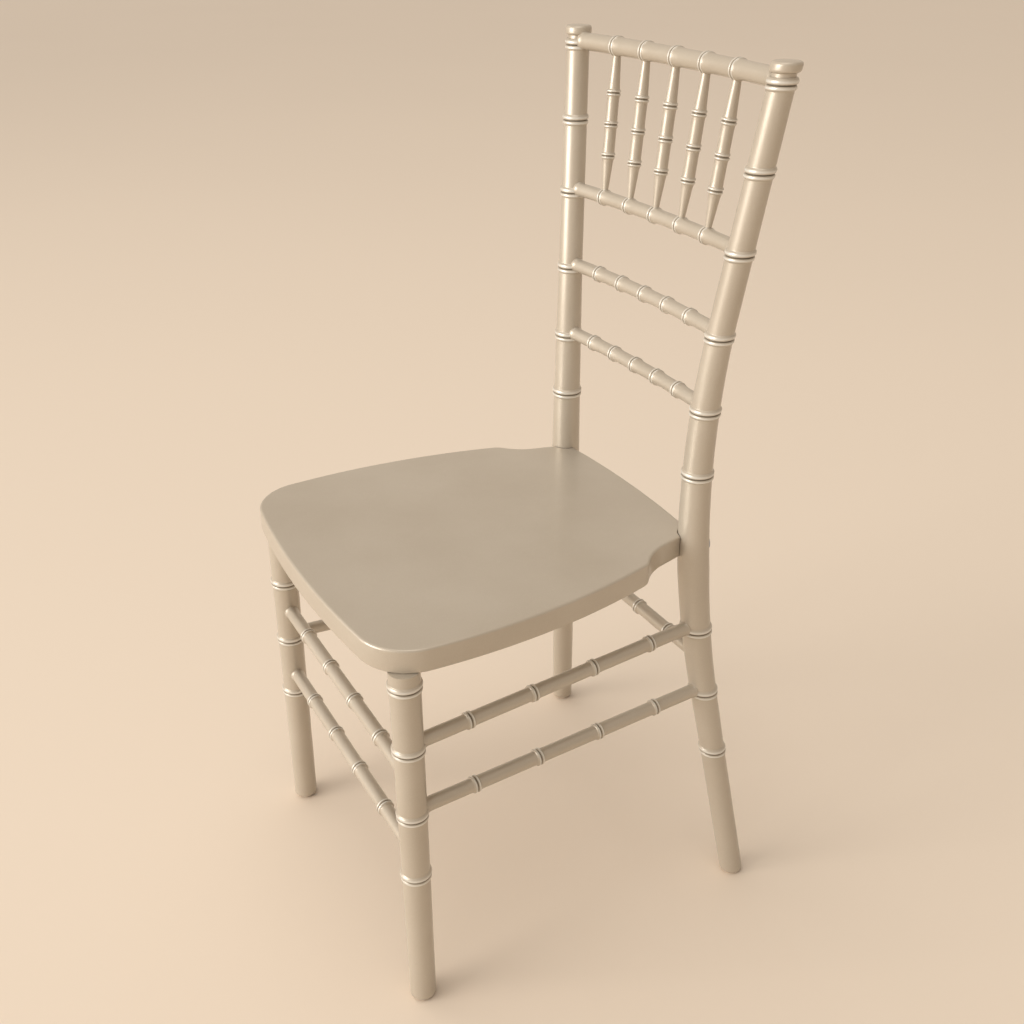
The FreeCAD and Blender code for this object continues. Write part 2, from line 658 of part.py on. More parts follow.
def front_leg():
    """The right front leg, and the bore for its tenon in the seat board."""
    slope, tilt = "cos(sizes.front_leg_lean)", "tan(sizes.front_leg_lean)"
    foot_plane = f"({FOOT_PLANE} + sizes.glide_radius * {tilt})"
    foot = leg_point("front_leg_foot", foot_plane)
    top_radius = size("front_leg_top_radius")
    shoulder = f"(({SEAT_FLOOR} - {foot_plane}) / {slope} - sizes.fit_gap - {top_radius} * {tilt})"
    tenon, tenon_top = size("leg_tenon_radius"), f"{shoulder} + sizes.leg_tenon_length"
    foot_radius, rounding = size("front_leg_foot_radius"), size("foot_rounding")
    profile = [("0", "0"), (f"{foot_radius} - {rounding}", "0", rounding), (foot_radius, rounding)]
    for height in ("ankle_ring_height", "side_lower_height", "side_upper_height", "collar_ring_height"):
        along = f"(({size(height)} - {foot_plane}) / {slope})"
        profile += leg_ring(along, leg_radius(size(height)))
    profile += [(top_radius, shoulder), (tenon, shoulder), (tenon, tenon_top), ("0", tenon_top)]
    up = "-sin(sizes.front_leg_lean)", "0", slope
    body = turned("front_leg_rod", profile, foot, up)
    bore_foot = shifted(foot, up, f"({shoulder} - sizes.overcut)")
    bore_length = "sizes.leg_tenon_length + sizes.overcut + sizes.fit_gap"
    return body, cylinder("leg_tenon_bore", bore_foot, up, f"{tenon} + sizes.fit_gap", bore_length)


leg_cuts.append(foot_glide("front_glide", leg_point("front_glide_foot", "0")))
leg_body, tenon_bore = front_leg()
seat_cuts.append(tenon_bore)
pair("front_leg", leg_body, leg_cuts)

# Rear posts: short lofts along the bent axis, from ring to ring, and a cap on the top one


def post_cap(point, direction, start):
    """The neck over the top ring and the rounded cap on it."""
    neck, half_cap, dome = size("neck_radius"), "sizes.cap_thickness / 2", size("cap_dome")
    cap_flat, cap_floor = f"(sizes.cap_radius - {half_cap})", f"({start} + sizes.neck_length)"
    cap_top = f"({cap_floor} + sizes.cap_thickness)"
    profile = [("0", start), (neck, start), (neck, cap_floor), (cap_flat, cap_floor, half_cap)]
    profile += [(size("cap_radius"), f"{cap_floor} + {half_cap}", half_cap)]
    profile += [(cap_flat, cap_top, bow_radius(cap_flat, dome)), ("0", f"{cap_top} + {dome}")]
    return turned("post_cap", profile, point, direction)


def round_section(name, point, direction, radius):
    return add("Part::Circle", name, Radius=radius, Placement=aimed(point, direction))


def post_span(name, sections):
    """One stretch of the post between two rings."""
    loft = doc.addObject("Part::Loft", name)
    loft.Sections = sections
    loft.Solid = True
    return loft


def rear_post():
    """The right rear post's solid, before its sockets are cut."""
    rings = (
        ("ankle", size("ankle_ring_height")),
        ("side_lower", size("side_lower_height")),
        ("side_upper", size("side_upper_height")),
        ("waist", size("waist_ring_height")),
        ("fourth_rail", size("fourth_rail_height")),
        ("third_rail", size("third_rail_height")),
        ("second_rail", size("second_rail_height")),
        ("middle", "((sizes.second_rail_height + sizes.top_rail_height) / 2)"),
        ("top_rail", size("top_rail_height")),
    )
    below, solids = FOOT_PLANE, []
    foot = post_point("rear_post_foot", FOOT_PLANE)
    sections = [round_section("rear_post_foot_section", foot, UP, post_radius(FOOT_PLANE))]
    for name, height in rings:
        point = post_point(f"post_{name}_point", height)
        direction, radius = post_direction(height), post_radius(height)
        ring = leg_ring("0", radius)
        for step in (1, 2):
            middle = f"({below} + ({height} - {below}) * {step} / 3)"
            section = f"post_{name}_section_{step}"
            centre = post_point(section + "_point", middle)
            sections.append(round_section(section, centre, post_direction(middle), post_radius(middle)))
        ring_floor = shifted(point, direction, ring[0][1])
        sections.append(round_section(f"post_{name}_ring_floor", ring_floor, direction, radius))
        solids.append(post_span(f"post_{name}_span", sections))
        solids.append(ring_body(f"post_{name}_ring", point, direction, ring))
        ring_top = shifted(point, direction, ring[-1][1])
        sections = [round_section(f"post_{name}_ring_top", ring_top, direction, radius)]
        below = height
    foot_span = doc.addObject("PartDesign::Body", "rear_post_rod")
    foot_span.BaseFeature = solids[0]
    round_rim(foot_span, "rear_post_foot_edge", FOOT_PLANE, size("foot_rounding"))
    cap = post_cap(point, direction, ring[-1][1])
    return fused("rear_post_solid", [foot_span] + solids[1:] + [cap])


post_cuts.append(foot_glide("rear_glide", post_point("rear_glide_foot", "0")))
pair("rear_post", rear_post(), post_cuts)

# Seat board: bowed edges, S-shaped shoulders and an ear against the front of each post


def ahead(heading):
    """The unit direction at a heading, turned from the X axis."""
    return f"cos({heading})", f"sin({heading})", "0"


def before_arc(name, end, end_heading, radius, turn):
    """Where an arc starts that arrives at a point, turning left, or right where the radius is negative."""
    side = "1" if not radius.startswith("-") else "-1"
    chord = f"(2 * {radius} * {side} * sin({turn} / 2))"
    return marker(name, shifted(end, ahead(f"({end_heading} - {side} * {turn} / 2)"), f"-{chord}"))


def seat_outline():
    """Corners of the outline, anticlockwise from the right end of the front edge.

    Every arc is tangent to the next one. The ear starts from the post, and the side's arc joins
    the shoulder to the front corner.
    """
    post = post_point("seat_post", SEAT_MIDDLE)
    corner, shoulder, throat = size("seat_corner_radius"), size("shoulder_radius"), "-sizes.throat_radius"
    ear_end = marker("seat_ear_end", (f"({post[0]} - sizes.ear_inset)", post[1], "0"))
    ear = marker("seat_ear", shifted(ear_end, ahead(size("ear_heading")), "-sizes.ear_length"))
    throat_start = before_arc("seat_throat", ear, size("ear_heading"), throat, size("throat_turn"))
    heading = "(sizes.ear_heading + sizes.throat_turn)"
    side_end = before_arc("seat_shoulder", throat_start, heading, shoulder, size("shoulder_turn"))
    heading = f"({heading} - sizes.shoulder_turn)"

    front_y = "(sizes.seat_front_y + sizes.seat_front_bow)"
    front_end = marker("seat_front_end", (size("seat_corner_start_x"), front_y, "0"))
    front = bow_radius(size("seat_corner_start_x"), size("seat_front_bow"))
    to_centre = ahead(f"(90 + asin({front_end[0]} / {front}) / 1 deg)")
    corner_centre = marker("seat_corner_centre", shifted(front_end, to_centre, corner))
    inward = ahead(f"({heading} + 90)")
    across = [f"({a} - {b})" for a, b in zip(side_end, corner_centre)]
    reach = f"({across[0]} * {inward[0]} + {across[1]} * {inward[1]})"
    spread = f"({across[0]} * {across[0]} + {across[1]} * {across[1]})"
    side = f"(({spread} - {corner} * {corner}) / (2 * (-{reach} - {corner})))"
    side_centre = marker("seat_side_centre", shifted(side_end, inward, side))
    outward = towards(side_centre, corner_centre)
    side_start = marker("seat_side_start", shifted(corner_centre, outward, corner))

    rear = bow_radius(ear_end[0], size("seat_rear_bow"))
    points = [front_end, side_start, side_end, throat_start, ear, ear_end]
    leaving = [(corner,), (side,), (shoulder,), (throat,), (), (rear,)]
    mirror = [mirror_point(point) for point in reversed(points)]
    mirror_leaving = leaving[4::-1] + [(front,)]
    return [point[:2] + arc for point, arc in zip(points + mirror, leaving + mirror_leaving)]


def seat_board():
    body = doc.addObject("PartDesign::Body", "seat_board_blank")
    board = body.newObject("PartDesign::Pad", "seat_pad")
    board.Profile = outline_sketch(body, "seat_outline", "XY_Plane", seat_outline())
    board.Refine = False
    board.setExpression("Length", size("seat_thickness"))
    body.setExpression("Placement", aimed(("0", "0", SEAT_FLOOR), UP))
    round_rim(body, "seat_top_edge", size("seat_thickness"), size("seat_top_rounding"))
    round_rim(body, "seat_bottom_edge", "0", size("seat_bottom_rounding"))
    return body


direction = post_direction(SEAT_MIDDLE)
start = shifted(post_point("seat_notch_axis", SEAT_MIDDLE), direction, "-1.5 * sizes.seat_thickness")
notch_radius = f"{post_radius(SEAT_MIDDLE)} + 2 * sizes.fit_gap"
seat_cuts.append(cylinder("seat_notch", start, direction, notch_radius, "3 * sizes.seat_thickness"))
right_cuts = fused("seat_right_cuts", seat_cuts)
finished("seat_board", seat_board(), [right_cuts, mirrored("seat_left_cuts", right_cuts)])
doc.recompute()

# Checks, then one file for each piece

for item in doc.Objects:
    if "Invalid" in item.State or "Error" in item.State:
        raise RuntimeError(f"{item.Name} did not build: {item.State}")
for label, piece in PIECES.items():
    shape = piece.Shape
    if shape.isNull() or not shape.isValid() or len(shape.Solids) != 1:
        raise RuntimeError(f"{label} is not one valid solid")

os.makedirs("parts", exist_ok=True)
for label, piece in PIECES.items():
    piece.Shape.exportStep(f"parts/{label}.step")
    box = piece.Shape.BoundBox
    print(f"{label}: volume {piece.Shape.Volume:.0f}, z {box.ZMin:.2f} to {box.ZMax:.2f}")
print(len(PIECES), "pieces")
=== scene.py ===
import math

import bmesh
import bpy
from mathutils import Matrix, Vector


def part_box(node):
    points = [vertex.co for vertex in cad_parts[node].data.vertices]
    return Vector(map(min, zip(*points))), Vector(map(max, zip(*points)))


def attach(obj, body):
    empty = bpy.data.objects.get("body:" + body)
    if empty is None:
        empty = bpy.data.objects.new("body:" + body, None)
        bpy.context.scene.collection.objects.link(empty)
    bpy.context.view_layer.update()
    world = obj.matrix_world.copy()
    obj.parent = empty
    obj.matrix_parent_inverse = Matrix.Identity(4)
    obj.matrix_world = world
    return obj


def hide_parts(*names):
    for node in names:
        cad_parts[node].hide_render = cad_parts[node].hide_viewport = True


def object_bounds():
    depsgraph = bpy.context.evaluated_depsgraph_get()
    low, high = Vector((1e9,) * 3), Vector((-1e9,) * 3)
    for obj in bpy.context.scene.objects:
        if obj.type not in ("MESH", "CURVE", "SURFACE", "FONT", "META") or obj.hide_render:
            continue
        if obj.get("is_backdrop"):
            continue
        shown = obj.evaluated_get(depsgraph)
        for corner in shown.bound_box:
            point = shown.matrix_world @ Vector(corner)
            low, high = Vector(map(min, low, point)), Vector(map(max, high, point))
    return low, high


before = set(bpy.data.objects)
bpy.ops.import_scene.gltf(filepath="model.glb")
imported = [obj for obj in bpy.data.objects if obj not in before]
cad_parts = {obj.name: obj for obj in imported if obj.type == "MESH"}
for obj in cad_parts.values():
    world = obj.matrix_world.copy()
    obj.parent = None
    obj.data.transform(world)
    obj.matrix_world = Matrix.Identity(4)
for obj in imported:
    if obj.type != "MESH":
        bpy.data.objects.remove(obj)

# A chiavari dining chair, dressed with turned and lacquered pieces round its fixed frame.
# Everything is in metres: +Z is up, the front faces -Y, and the origin is on the floor.

bl_info = {
    "name": "Chiavari Dining Chair",
    "version": (1, 0, 0),
    "blender": (4, 5, 0),
    "location": "3D View > Sidebar > Chair",
    "description": "Makes a chiavari chair's turned pieces, seat and finishes, and a stage for it",
    "category": "Object",
}

CAD_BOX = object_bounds()
SIDES = (-1, 1)
SIDE_NAMES = {-1: "left", 1: "right"}
LOWER_RAILS = ("second_rail", "third_rail", "fourth_rail")

# Steps along a rod, over its details and on its plain stretches
FINE_STEP = 0.0003
COARSE_STEP = 0.006

# Steps round the seat board: the shortest in metres, and the widest turn in radians
ARC_STEP = 0.002
ARC_TURN = 0.02

# How far a point may lie off a level face
LEVEL = 1e-6

# Width of the painted shade in a groove, of the groove's width, and of the painted highlight on a crest, of
# its bead's
GROOVE_SHADE_WIDTH = 1.6
CREST_HIGHLIGHT_WIDTH = 0.45

# Grains to the metre in the sanded unevenness
UNEVEN_GRAINS = 28

# Seeds of the sanded unevenness, to which each piece adds its side or its count
POST_SEED = 2
SIDE_SEED = 4
LEG_SEED = 7
REAR_SEED = 11
RAIL_SEED = 20
SPINDLE_SEED = 30

# Turns beyond which an edge is sharp
POST_CREASE = math.radians(48)
LEG_CREASE = math.radians(60)
SEAT_CREASE = math.radians(30)


# Sizes, finishes and studio, as a user would change them


def length(name, millimetres, description):
    """A size, written in millimetres and held in metres."""
    return bpy.props.FloatProperty(
        name=name, description=description, default=millimetres / 1000,
        precision=5, subtype="DISTANCE", unit="LENGTH",
    )


def angle(name, degrees, description):
    return bpy.props.FloatProperty(
        name=name, description=description, default=math.radians(degrees), subtype="ANGLE", unit="ROTATION",
    )


def factor(name, value, description):
    return bpy.props.FloatProperty(
        name=name, description=description, default=value, min=0, max=1, subtype="FACTOR",
    )


def amount(name, value, description):
    return bpy.props.FloatProperty(name=name, description=description, default=value, min=0)


def power(name, watts, description):
    return bpy.props.FloatProperty(name=name, description=description, default=watts, min=0, subtype="POWER")


def colour(name, value, description):
    return bpy.props.FloatVectorProperty(
        name=name, description=description, default=value, size=3, min=0, max=1, subtype="COLOR",
    )


def place(name, value, description):
    return bpy.props.FloatVectorProperty(
        name=name, description=description, default=value, size=3, subtype="XYZ", unit="LENGTH",
    )


class ChairSizes(bpy.types.PropertyGroup):
    """Sizes of the chair's wooden pieces"""

    post_axis_x: length("Post from middle", 127.5, "Post axis from the middle, where the post is upright")
    post_axis_y: length("Post from origin", 164.5, "Post axis behind the origin, where the post is upright")
    post_upright_height: length("Upright height", 502, "Height where the post axis is upright")
    post_bend_radius: length("Post bend", 1188, "Radius of the post's bend")
    post_rake_above: angle("Rake above", 8.4, "Lean of the post's straight upper part")
    post_rake_below: angle("Rake below", 12.6, "Lean of the post's straight lower part")
    post_splay: angle("Post splay", 35, "Turn of the bend's plane from the X axis")
    post_foot_radius: length("Post at floor", 13.4, "Post radius at the floor")
    post_ankle_radius: length("Post at ankle", 13.9, "Post radius at the lowest ring")
    post_seat_radius: length("Post at seat", 17.1, "Post radius just under the seat")
    post_shoulder_radius: length("Post at third rail", 13.3, "Post radius at the third rail")
    post_top_radius: length("Post at top", 12.3, "Post radius at the top rail")
    post_widest_height: length("Widest height", 400, "Height of the post's widest section")
    waist_ring_height: length("Waist ring", 514.5, "Height of the ring above the seat")
    ankle_ring_height: length("Ankle ring", 174.5, "Height of the lowest ring of every leg")
    neck_radius: length("Neck", 10.8, "Radius of the neck under the cap")
    neck_length: length("Neck length", 5.6, "Top rail's axis to the underside of the cap")
    cap_radius: length("Cap", 14.1, "Radius of the cap")
    cap_thickness: length("Cap thickness", 9.5, "Thickness of the cap at its side")
    cap_rounding: length("Cap rounding", 3, "Rounding of the cap's upper and lower edge")
    cap_dome: length("Cap dome", 0.8, "Rise of the cap's top")
    front_foot_x: length("Front foot", 178.3, "Front leg axis from the middle, at the floor")
    front_leg_y: length("Front leg", -188.2, "Front leg axis, from the origin")
    front_leg_lean: angle("Front leg lean", 1.07, "Lean of the front legs towards the middle")
    front_leg_top_radius: length("Front leg at seat", 15.2, "Front leg radius under the seat")
    front_leg_foot_radius: length("Front leg at floor", 13.8, "Front leg radius at the floor")
    collar_ring_height: length("Collar ring", 402.5, "Height of the front legs' highest ring")
    leg_tenon_radius: length("Leg tenon", 6.8, "Radius of the leg's tenon in the seat board")
    leg_tenon_length: length("Leg tenon length", 16, "Depth of the leg's tenon in the seat board")
    foot_rounding: length("Foot rounding", 3.5, "Rounded lower edge of every leg")
    glide_thickness: length("Glide", 2, "Glide under the foot")
    seat_height: length("Seat height", 441.5, "Top of the seat")
    seat_thickness: length("Seat thickness", 25, "Thickness of the seat board")
    seat_front_y: length("Seat front", -226, "Middle of the front edge, from the origin")
    seat_front_bow: length("Front bow", 8.5, "Bow of the seat's front edge")
    seat_corner_start_x: length("Front edge end", 137, "End of the front edge, from the middle")
    seat_corner_radius: length("Front corner", 55, "Radius of the front corners")
    shoulder_radius: length("Shoulder", 21, "Outward curve of the seat's shoulder")
    shoulder_turn: angle("Shoulder turn", 33.5, "How far the shoulder turns")
    throat_radius: length("Throat", 62, "Inward curve between the shoulder and the ear")
    throat_turn: angle("Throat turn", 34, "How far the inward curve turns")
    ear_heading: angle("Ear heading", 105, "Heading of the ear's outer edge, turned from the X axis")
    ear_length: length("Ear length", 44.8, "Straight outer edge of the ear")
    ear_inset: length("Ear inset", 6, "Ear's outer edge inside the post's axis")
    seat_rear_bow: length("Rear bow", 7, "Bow of the seat's rear edge")
    seat_top_rounding: length("Seat top rounding", 2.6, "Rounding of the seat's upper edge")
    seat_bottom_rounding: length("Seat bottom rounding", 1.5, "Rounding of the seat's lower edge")
    top_rail_height: length("Top rail height", 895, "Height of the top rail")
    second_rail_height: length("Second rail height", 744.5, "Height of the second rail")
    third_rail_height: length("Third rail height", 662.5, "Height of the third rail")
    fourth_rail_height: length("Fourth rail height", 584.5, "Height of the fourth rail")
    top_rail_bow: length("Top rail bow", 9.7, "Bow of the top rail")
    second_rail_bow: length("Second rail bow", 7, "Bow of the second rail")
    third_rail_bow: length("Third rail bow", 7, "Bow of the third rail")
    fourth_rail_bow: length("Fourth rail bow", 5.1, "Bow of the fourth rail")
    top_rail_pitch: length("Top rail pitch", 49, "Spacing of the top rail's nodes")
    second_rail_pitch: length("Second rail pitch", 44.7, "Spacing of the second rail's nodes")
    third_rail_pitch: length("Third rail pitch", 41.2, "Spacing of the third rail's nodes")
    fourth_rail_pitch: length("Fourth rail pitch", 39.7, "Spacing of the fourth rail's nodes")
    top_rail_radius: length("Top rail", 8.8, "Radius of the top rail")
    lower_rail_radius: length("Lower rails", 7.2, "Radius of the three rails under it")
    spindle_radius: length("Spindle", 6.3, "Radius of a spindle's middle part")
    spindle_top_radius: length("Spindle top", 4.3, "Radius of a spindle's upper end")
    spindle_foot_radius: length("Spindle foot", 3.2, "Radius of a spindle's lower end")
    spindle_ring_share: factor("Spindle ring share", 0.233, "Spacing of spindle rings, of the free length")
    spindle_seat_depth: length("Spindle seat", 6, "Depth of a spindle's end in its rail")
    side_upper_height: length("Upper side stretcher", 330, "Height of the upper side stretchers")
    side_lower_height: length("Lower side stretcher", 251, "Height of the lower side stretchers")
    front_upper_height: length("Upper front stretcher", 289.5, "Height of the upper front stretcher")
    front_lower_height: length("Lower front stretcher", 198, "Height of the lower front stretcher")
    rear_stretcher_height: length("Rear stretcher", 290, "Height of the rear stretcher")
    stretcher_radius: length("Stretcher", 7.4, "Radius of every stretcher")
    front_ring_pitch: length("Front ring pitch", 68, "Spacing of the front stretchers' rings")
    side_ring_pitch: length("Side ring pitch", 76, "Spacing of the side stretchers' rings")
    rear_ring_pitch: length("Rear ring pitch", 58, "Spacing of the rear stretcher's rings")
    tenon_radius: length("Rod tenon", 5, "Radius of the tenons of rails and stretchers")
    tenon_length: length("Rod tenon length", 12, "Tenon beyond the rod's shoulder")
    shoulder_inset: length("Shoulder inset", 3, "Rod's shoulder under the leg's surface")
    bolt_turn: angle("Bolt turn", 28, "Seat bolt's axis from the Y axis towards the middle")
    bolt_length: length("Bolt length", 62, "Seat bolt under its head")
    bolt_head_radius: length("Bolt head", 5.5, "Radius of the seat bolt's head")
    bolt_head_length: length("Bolt head length", 4, "Length of the seat bolt's head")
    nut_radius: length("Cross nut", 5, "Radius of the cross nut")
    bolt_past_nut: length("Bolt past nut", 2, "Bolt's end past the cross nut")
    fit_gap: length("Fit gap", 0.3, "Gap between a piece and its socket")


class ChairRings(bpy.types.PropertyGroup):
    """The turned rings that make the rods look like bamboo"""

    large_bead: length("Large bead", 3.6, "Section radius of a leg ring's large bead")
    large_rise: length("Large rise", 1.75, "Large bead above the leg")
    small_bead: length("Small bead", 3.1, "Section radius of a leg ring's small bead")
    small_rise: length("Small rise", 1.45, "Small bead above the leg")
    rod_bead: length("Rod bead", 2.2, "Section radius of the beads of rails and stretchers")
    rod_rise: length("Rod rise", 1.6, "Beads above a rail or stretcher")
    spindle_bead: length("Spindle bead", 1.9, "Section radius of a spindle's beads")
    spindle_rise: length("Spindle rise", 1.3, "Beads above a spindle")
    ring_drop: length("Ring drop", 1.2, "Upper bead of a leg's ring under the ring's height")
    groove_rise: length("Groove rise", 0.3, "Where two beads meet, above the rod")
    groove_depth: length("Groove depth", 0.6, "Fine groove cut between two beads")
    groove_width: length("Groove width", 0.5, "Half width of the fine groove")
    leg_swell: length("Leg swell", 0.25, "Swelling of a leg towards its ring")
    leg_swell_reach: length("Leg swell reach", 7, "How far along the leg its swelling runs")
    rail_swell: length("Rail swell", 1.5, "Swelling of a back rail towards its nodes")
    rail_swell_left: factor("Rail swell, left", 0.25, "Share of a rail's swelling on the left of its node")
    rail_swell_reach: length("Rail swell reach", 14, "How far along the rail its swelling runs")
    rod_swell: length("Rod swell", 0.6, "Swelling of a stretcher or spindle towards its rings")
    rod_swell_reach: length("Rod swell reach", 9, "How far along the rod its swelling runs")
    end_flare: length("End flare", 0.9, "Flare of a rod where it meets a leg")
    end_flare_reach: length("End flare reach", 4.5, "How far from the leg the flare runs")
    unevenness: length("Unevenness", 0.06, "Depth of the hand-sanded unevenness")
    sides: bpy.props.IntProperty(name="Sides", description="Facets round a turned rod", default=48, min=16)


class ChairFinish(bpy.types.PropertyGroup):
    """Colours and gloss of the chair's finishes"""

    lacquer_light: colour("Lacquer, light", (0.535, 0.475, 0.39), "Lighter tone of the metallic lacquer")
    lacquer_deep: colour("Lacquer, deep", (0.495, 0.434, 0.35), "Deeper tone of the metallic lacquer")
    # Painted shade: a dark colour laid into the grooves between beads, where the grooves fall into shade
    lacquer_groove: colour("Lacquer, groove", (0.17, 0.14, 0.10), "Tone settled in the grooves")
    # Painted highlight on the beads' crests, where they catch the light; the metal flakes take a little of
    # the same light colour
    lacquer_crest: colour("Lacquer, crest", (0.80, 0.79, 0.74), "Rubbed tone on the beads' crests")
    lacquer_metal: factor("Metallic", 0.52, "How metallic the lacquer is")
    lacquer_rough_low: factor("Roughness, low", 0.40, "Smoothest places of the lacquer")
    lacquer_rough_high: factor("Roughness, high", 0.48, "Roughest places of the lacquer")
    lacquer_coat: factor("Clear coat", 0.6, "Strength of the clear coat")
    lacquer_coat_rough: factor("Clear coat roughness", 0.2, "Roughness of the clear coat")
    drift_grains: amount("Tone grains", 7, "Grains to the metre in the drift of tone")
    flake_grains: amount("Flakes", 1500, "Flakes to the metre")
    smear_grains: amount("Smear grains", 60, "Grains to the metre in the roughness")
    peel_grains: amount("Peel grains", 380, "Grains to the metre in the orange peel")
    flake_strength: factor("Flake strength", 0.06, "How far a flake takes the crests' tone")
    # How far the painted shade in the grooves and the painted highlight on the crests take over the lacquer's
    # tone
    groove_strength: factor("Groove strength", 0.85, "How far a groove takes its own tone")
    crest_strength: factor("Crest strength", 0.75, "How far a crest takes its own tone")
    zinc: colour("Zinc", (0.55, 0.56, 0.58), "Zinc plating of bolts and nuts")
    glide: colour("Glide", (0.72, 0.69, 0.62), "Moulded glides")


class StudioLook(bpy.types.PropertyGroup):
    """Camera, floor and lamps"""

    camera_place: place("Camera", (0.96608, -0.52051, 1.03782), "Camera's place")
    camera_azimuth: angle("Camera azimuth", 60.84, "Camera's heading round the chair")
    camera_elevation: angle("Camera elevation", 28.23, "Camera's view below the horizon")
    camera_roll: angle("Camera roll", 0.10, "Camera's roll")
    camera_lens: bpy.props.FloatProperty(
        name="Lens", description="Focal length on a 36 mm wide sensor", default=40.84,
        subtype="DISTANCE_CAMERA",
    )
    floor_colour: colour("Floor", (0.75, 0.618, 0.487), "Seamless floor")
    backdrop_colour: colour("Backdrop", (0.68, 0.56, 0.44), "Background beyond the floor")
    fill_colour: colour("Fill", (1.0, 0.97, 0.93), "Soft light from all round")
    fill_strength: amount("Fill strength", 0.82, "Strength of the soft light")
    fill_tilt: factor("Fill tilt", 1.0, "How much stronger the soft light is from the left of the picture")
    key_colour: colour("Key", (1.0, 0.98, 0.95), "Large lamp at the left of the picture")
    key_power: power("Key power", 140, "Large lamp at the left of the picture")
    key_place: place("Key place", (-0.96, -8.0, 2.5), "Large lamp's place")
    key_size: length("Key size", 4800, "Large lamp's side")
    key_spread: angle("Key spread", 90, "Angle over which the large lamp shines")
    top_power: power("Top power", 20, "Overhead lamp")
    top_place: place("Top place", (0.2, -0.2, 4.4), "Overhead lamp's place")
    top_size: length("Top size", 2000, "Overhead lamp's side")
    aim: place("Aim", (0.0, 0.0, 0.5), "Point that the lamps face")


# Shapes shared by several pieces


def bend_heights(sizes):
    """Heights where the post's bend ends, at its lower and its upper end."""
    low = sizes.post_upright_height - sizes.post_bend_radius * math.sin(sizes.post_rake_below)
    high = sizes.post_upright_height + sizes.post_bend_radius * math.sin(sizes.post_rake_above)
    return low, high


def post_lean(sizes, height):
    """Lean of the post's axis, outwards going up."""
    low, high = bend_heights(sizes)
    if height > high:
        return sizes.post_rake_above
    if height < low:
        return -sizes.post_rake_below
    return math.asin((height - sizes.post_upright_height) / sizes.post_bend_radius)


def post_reach(sizes, height):
    """How far the bend has carried the post's axis outwards at a height."""
    low, high = bend_heights(sizes)
    bend = sizes.post_bend_radius
    if low <= height <= high:
        rise = height - sizes.post_upright_height
        return bend - math.sqrt(bend * bend - rise * rise)
    rake, past = sizes.post_rake_above, height - high
    if height < low:
        rake, past = sizes.post_rake_below, low - height
    return bend * (1 - math.cos(rake)) + past * math.tan(rake)


def post_point(sizes, height, side=1):
    """A point on the axis of a rear post."""
    reach = post_reach(sizes, height)
    x = sizes.post_axis_x + reach * math.cos(sizes.post_splay)
    return Vector((side * x, sizes.post_axis_y + reach * math.sin(sizes.post_splay), height))


def ramp(value, points):
    """A value that changes evenly from one (place, value) pair to the next."""
    for (low, first), (high, second) in zip(points, points[1:]):
        if value <= high:
            return first + (second - first) * (value - low) / (high - low)
    return points[-1][1]


def post_radius(sizes, height):
    """Radius of a rear post at a height."""
    return ramp(height, (
        (0, sizes.post_foot_radius),
        (sizes.ankle_ring_height, sizes.post_ankle_radius),
        (sizes.post_widest_height, sizes.post_seat_radius),
        (sizes.third_rail_height, sizes.post_shoulder_radius),
        (sizes.top_rail_height, sizes.post_top_radius),
    ))


def leg_point(sizes, height, side=1):
    """A point on the axis of a front leg."""
    x = sizes.front_foot_x - height * math.tan(sizes.front_leg_lean)
    return Vector((side * x, sizes.front_leg_y, height))


def seat_floor(sizes):
    """Height of the seat board's underside."""
    return sizes.seat_height - sizes.seat_thickness


def seat_middle(sizes):
    """Height of the middle of the seat board's thickness."""
    return sizes.seat_height - sizes.seat_thickness / 2


def leg_radius(sizes, height):
    """Radius of a front leg at a height."""
    return ramp(height, ((0, sizes.front_leg_foot_radius), (seat_floor(sizes), sizes.front_leg_top_radius)))


def hump(offset, width):
    """A smooth hump of height 1 round its middle."""
    return math.exp(-(offset / width) ** 2)


def shared_ring_heights(sizes):
    """Heights of the three rings that every leg and post has."""
    return [sizes.ankle_ring_height, sizes.side_lower_height, sizes.side_upper_height]


class Ring:
    """A turned ring: beads side by side, with a fine groove where they meet and a swelling beside them."""

    def __init__(self, beads, groove, swell, swell_reach, rings, share_before=1):
        self.beads = beads
        self.groove = groove
        self.swell = swell
        self.swell_reach = swell_reach
        self.share_before = share_before
        self.rings = rings
        self.reach = max(swell_reach, max(abs(crest) + tube for crest, tube, _ in beads))

    def spans(self, middles):
        """The stretches of a rod that rings at these places take up."""
        return [(middle - self.reach, middle + self.reach) for middle in middles]

    def rise(self, offset):
        """Height over the rod at a distance along it."""
        share = self.share_before if offset < self.groove else 1
        height = share * self.swell * max(0, 1 - abs(offset - self.groove) / self.swell_reach) ** 2
        for crest, tube, rise in self.beads:
            away = abs(offset - crest)
            if away < tube:
                height = max(height, math.sqrt(tube * tube - away * away) - tube + rise)
        return height - self.rings.groove_depth * hump(offset - self.groove, self.rings.groove_width)

    def shade(self, offset):
        """The painted light along the ring: 1 for a painted highlight on a crest, -1 for painted shade in the
        groove, 0 on the plain rod.
        """
        groove = hump(offset - self.groove, GROOVE_SHADE_WIDTH * self.rings.groove_width)
        painted_highlight = max(hump(offset - crest, CREST_HIGHLIGHT_WIDTH * tube) for crest, tube, _ in self.beads)
        return painted_highlight * (1 - groove) - groove


def half_width(tube, rise, above):
    """Half the width of a bead at a height above its rod."""
    drop = tube - rise + above
    return math.sqrt(tube * tube - drop * drop)


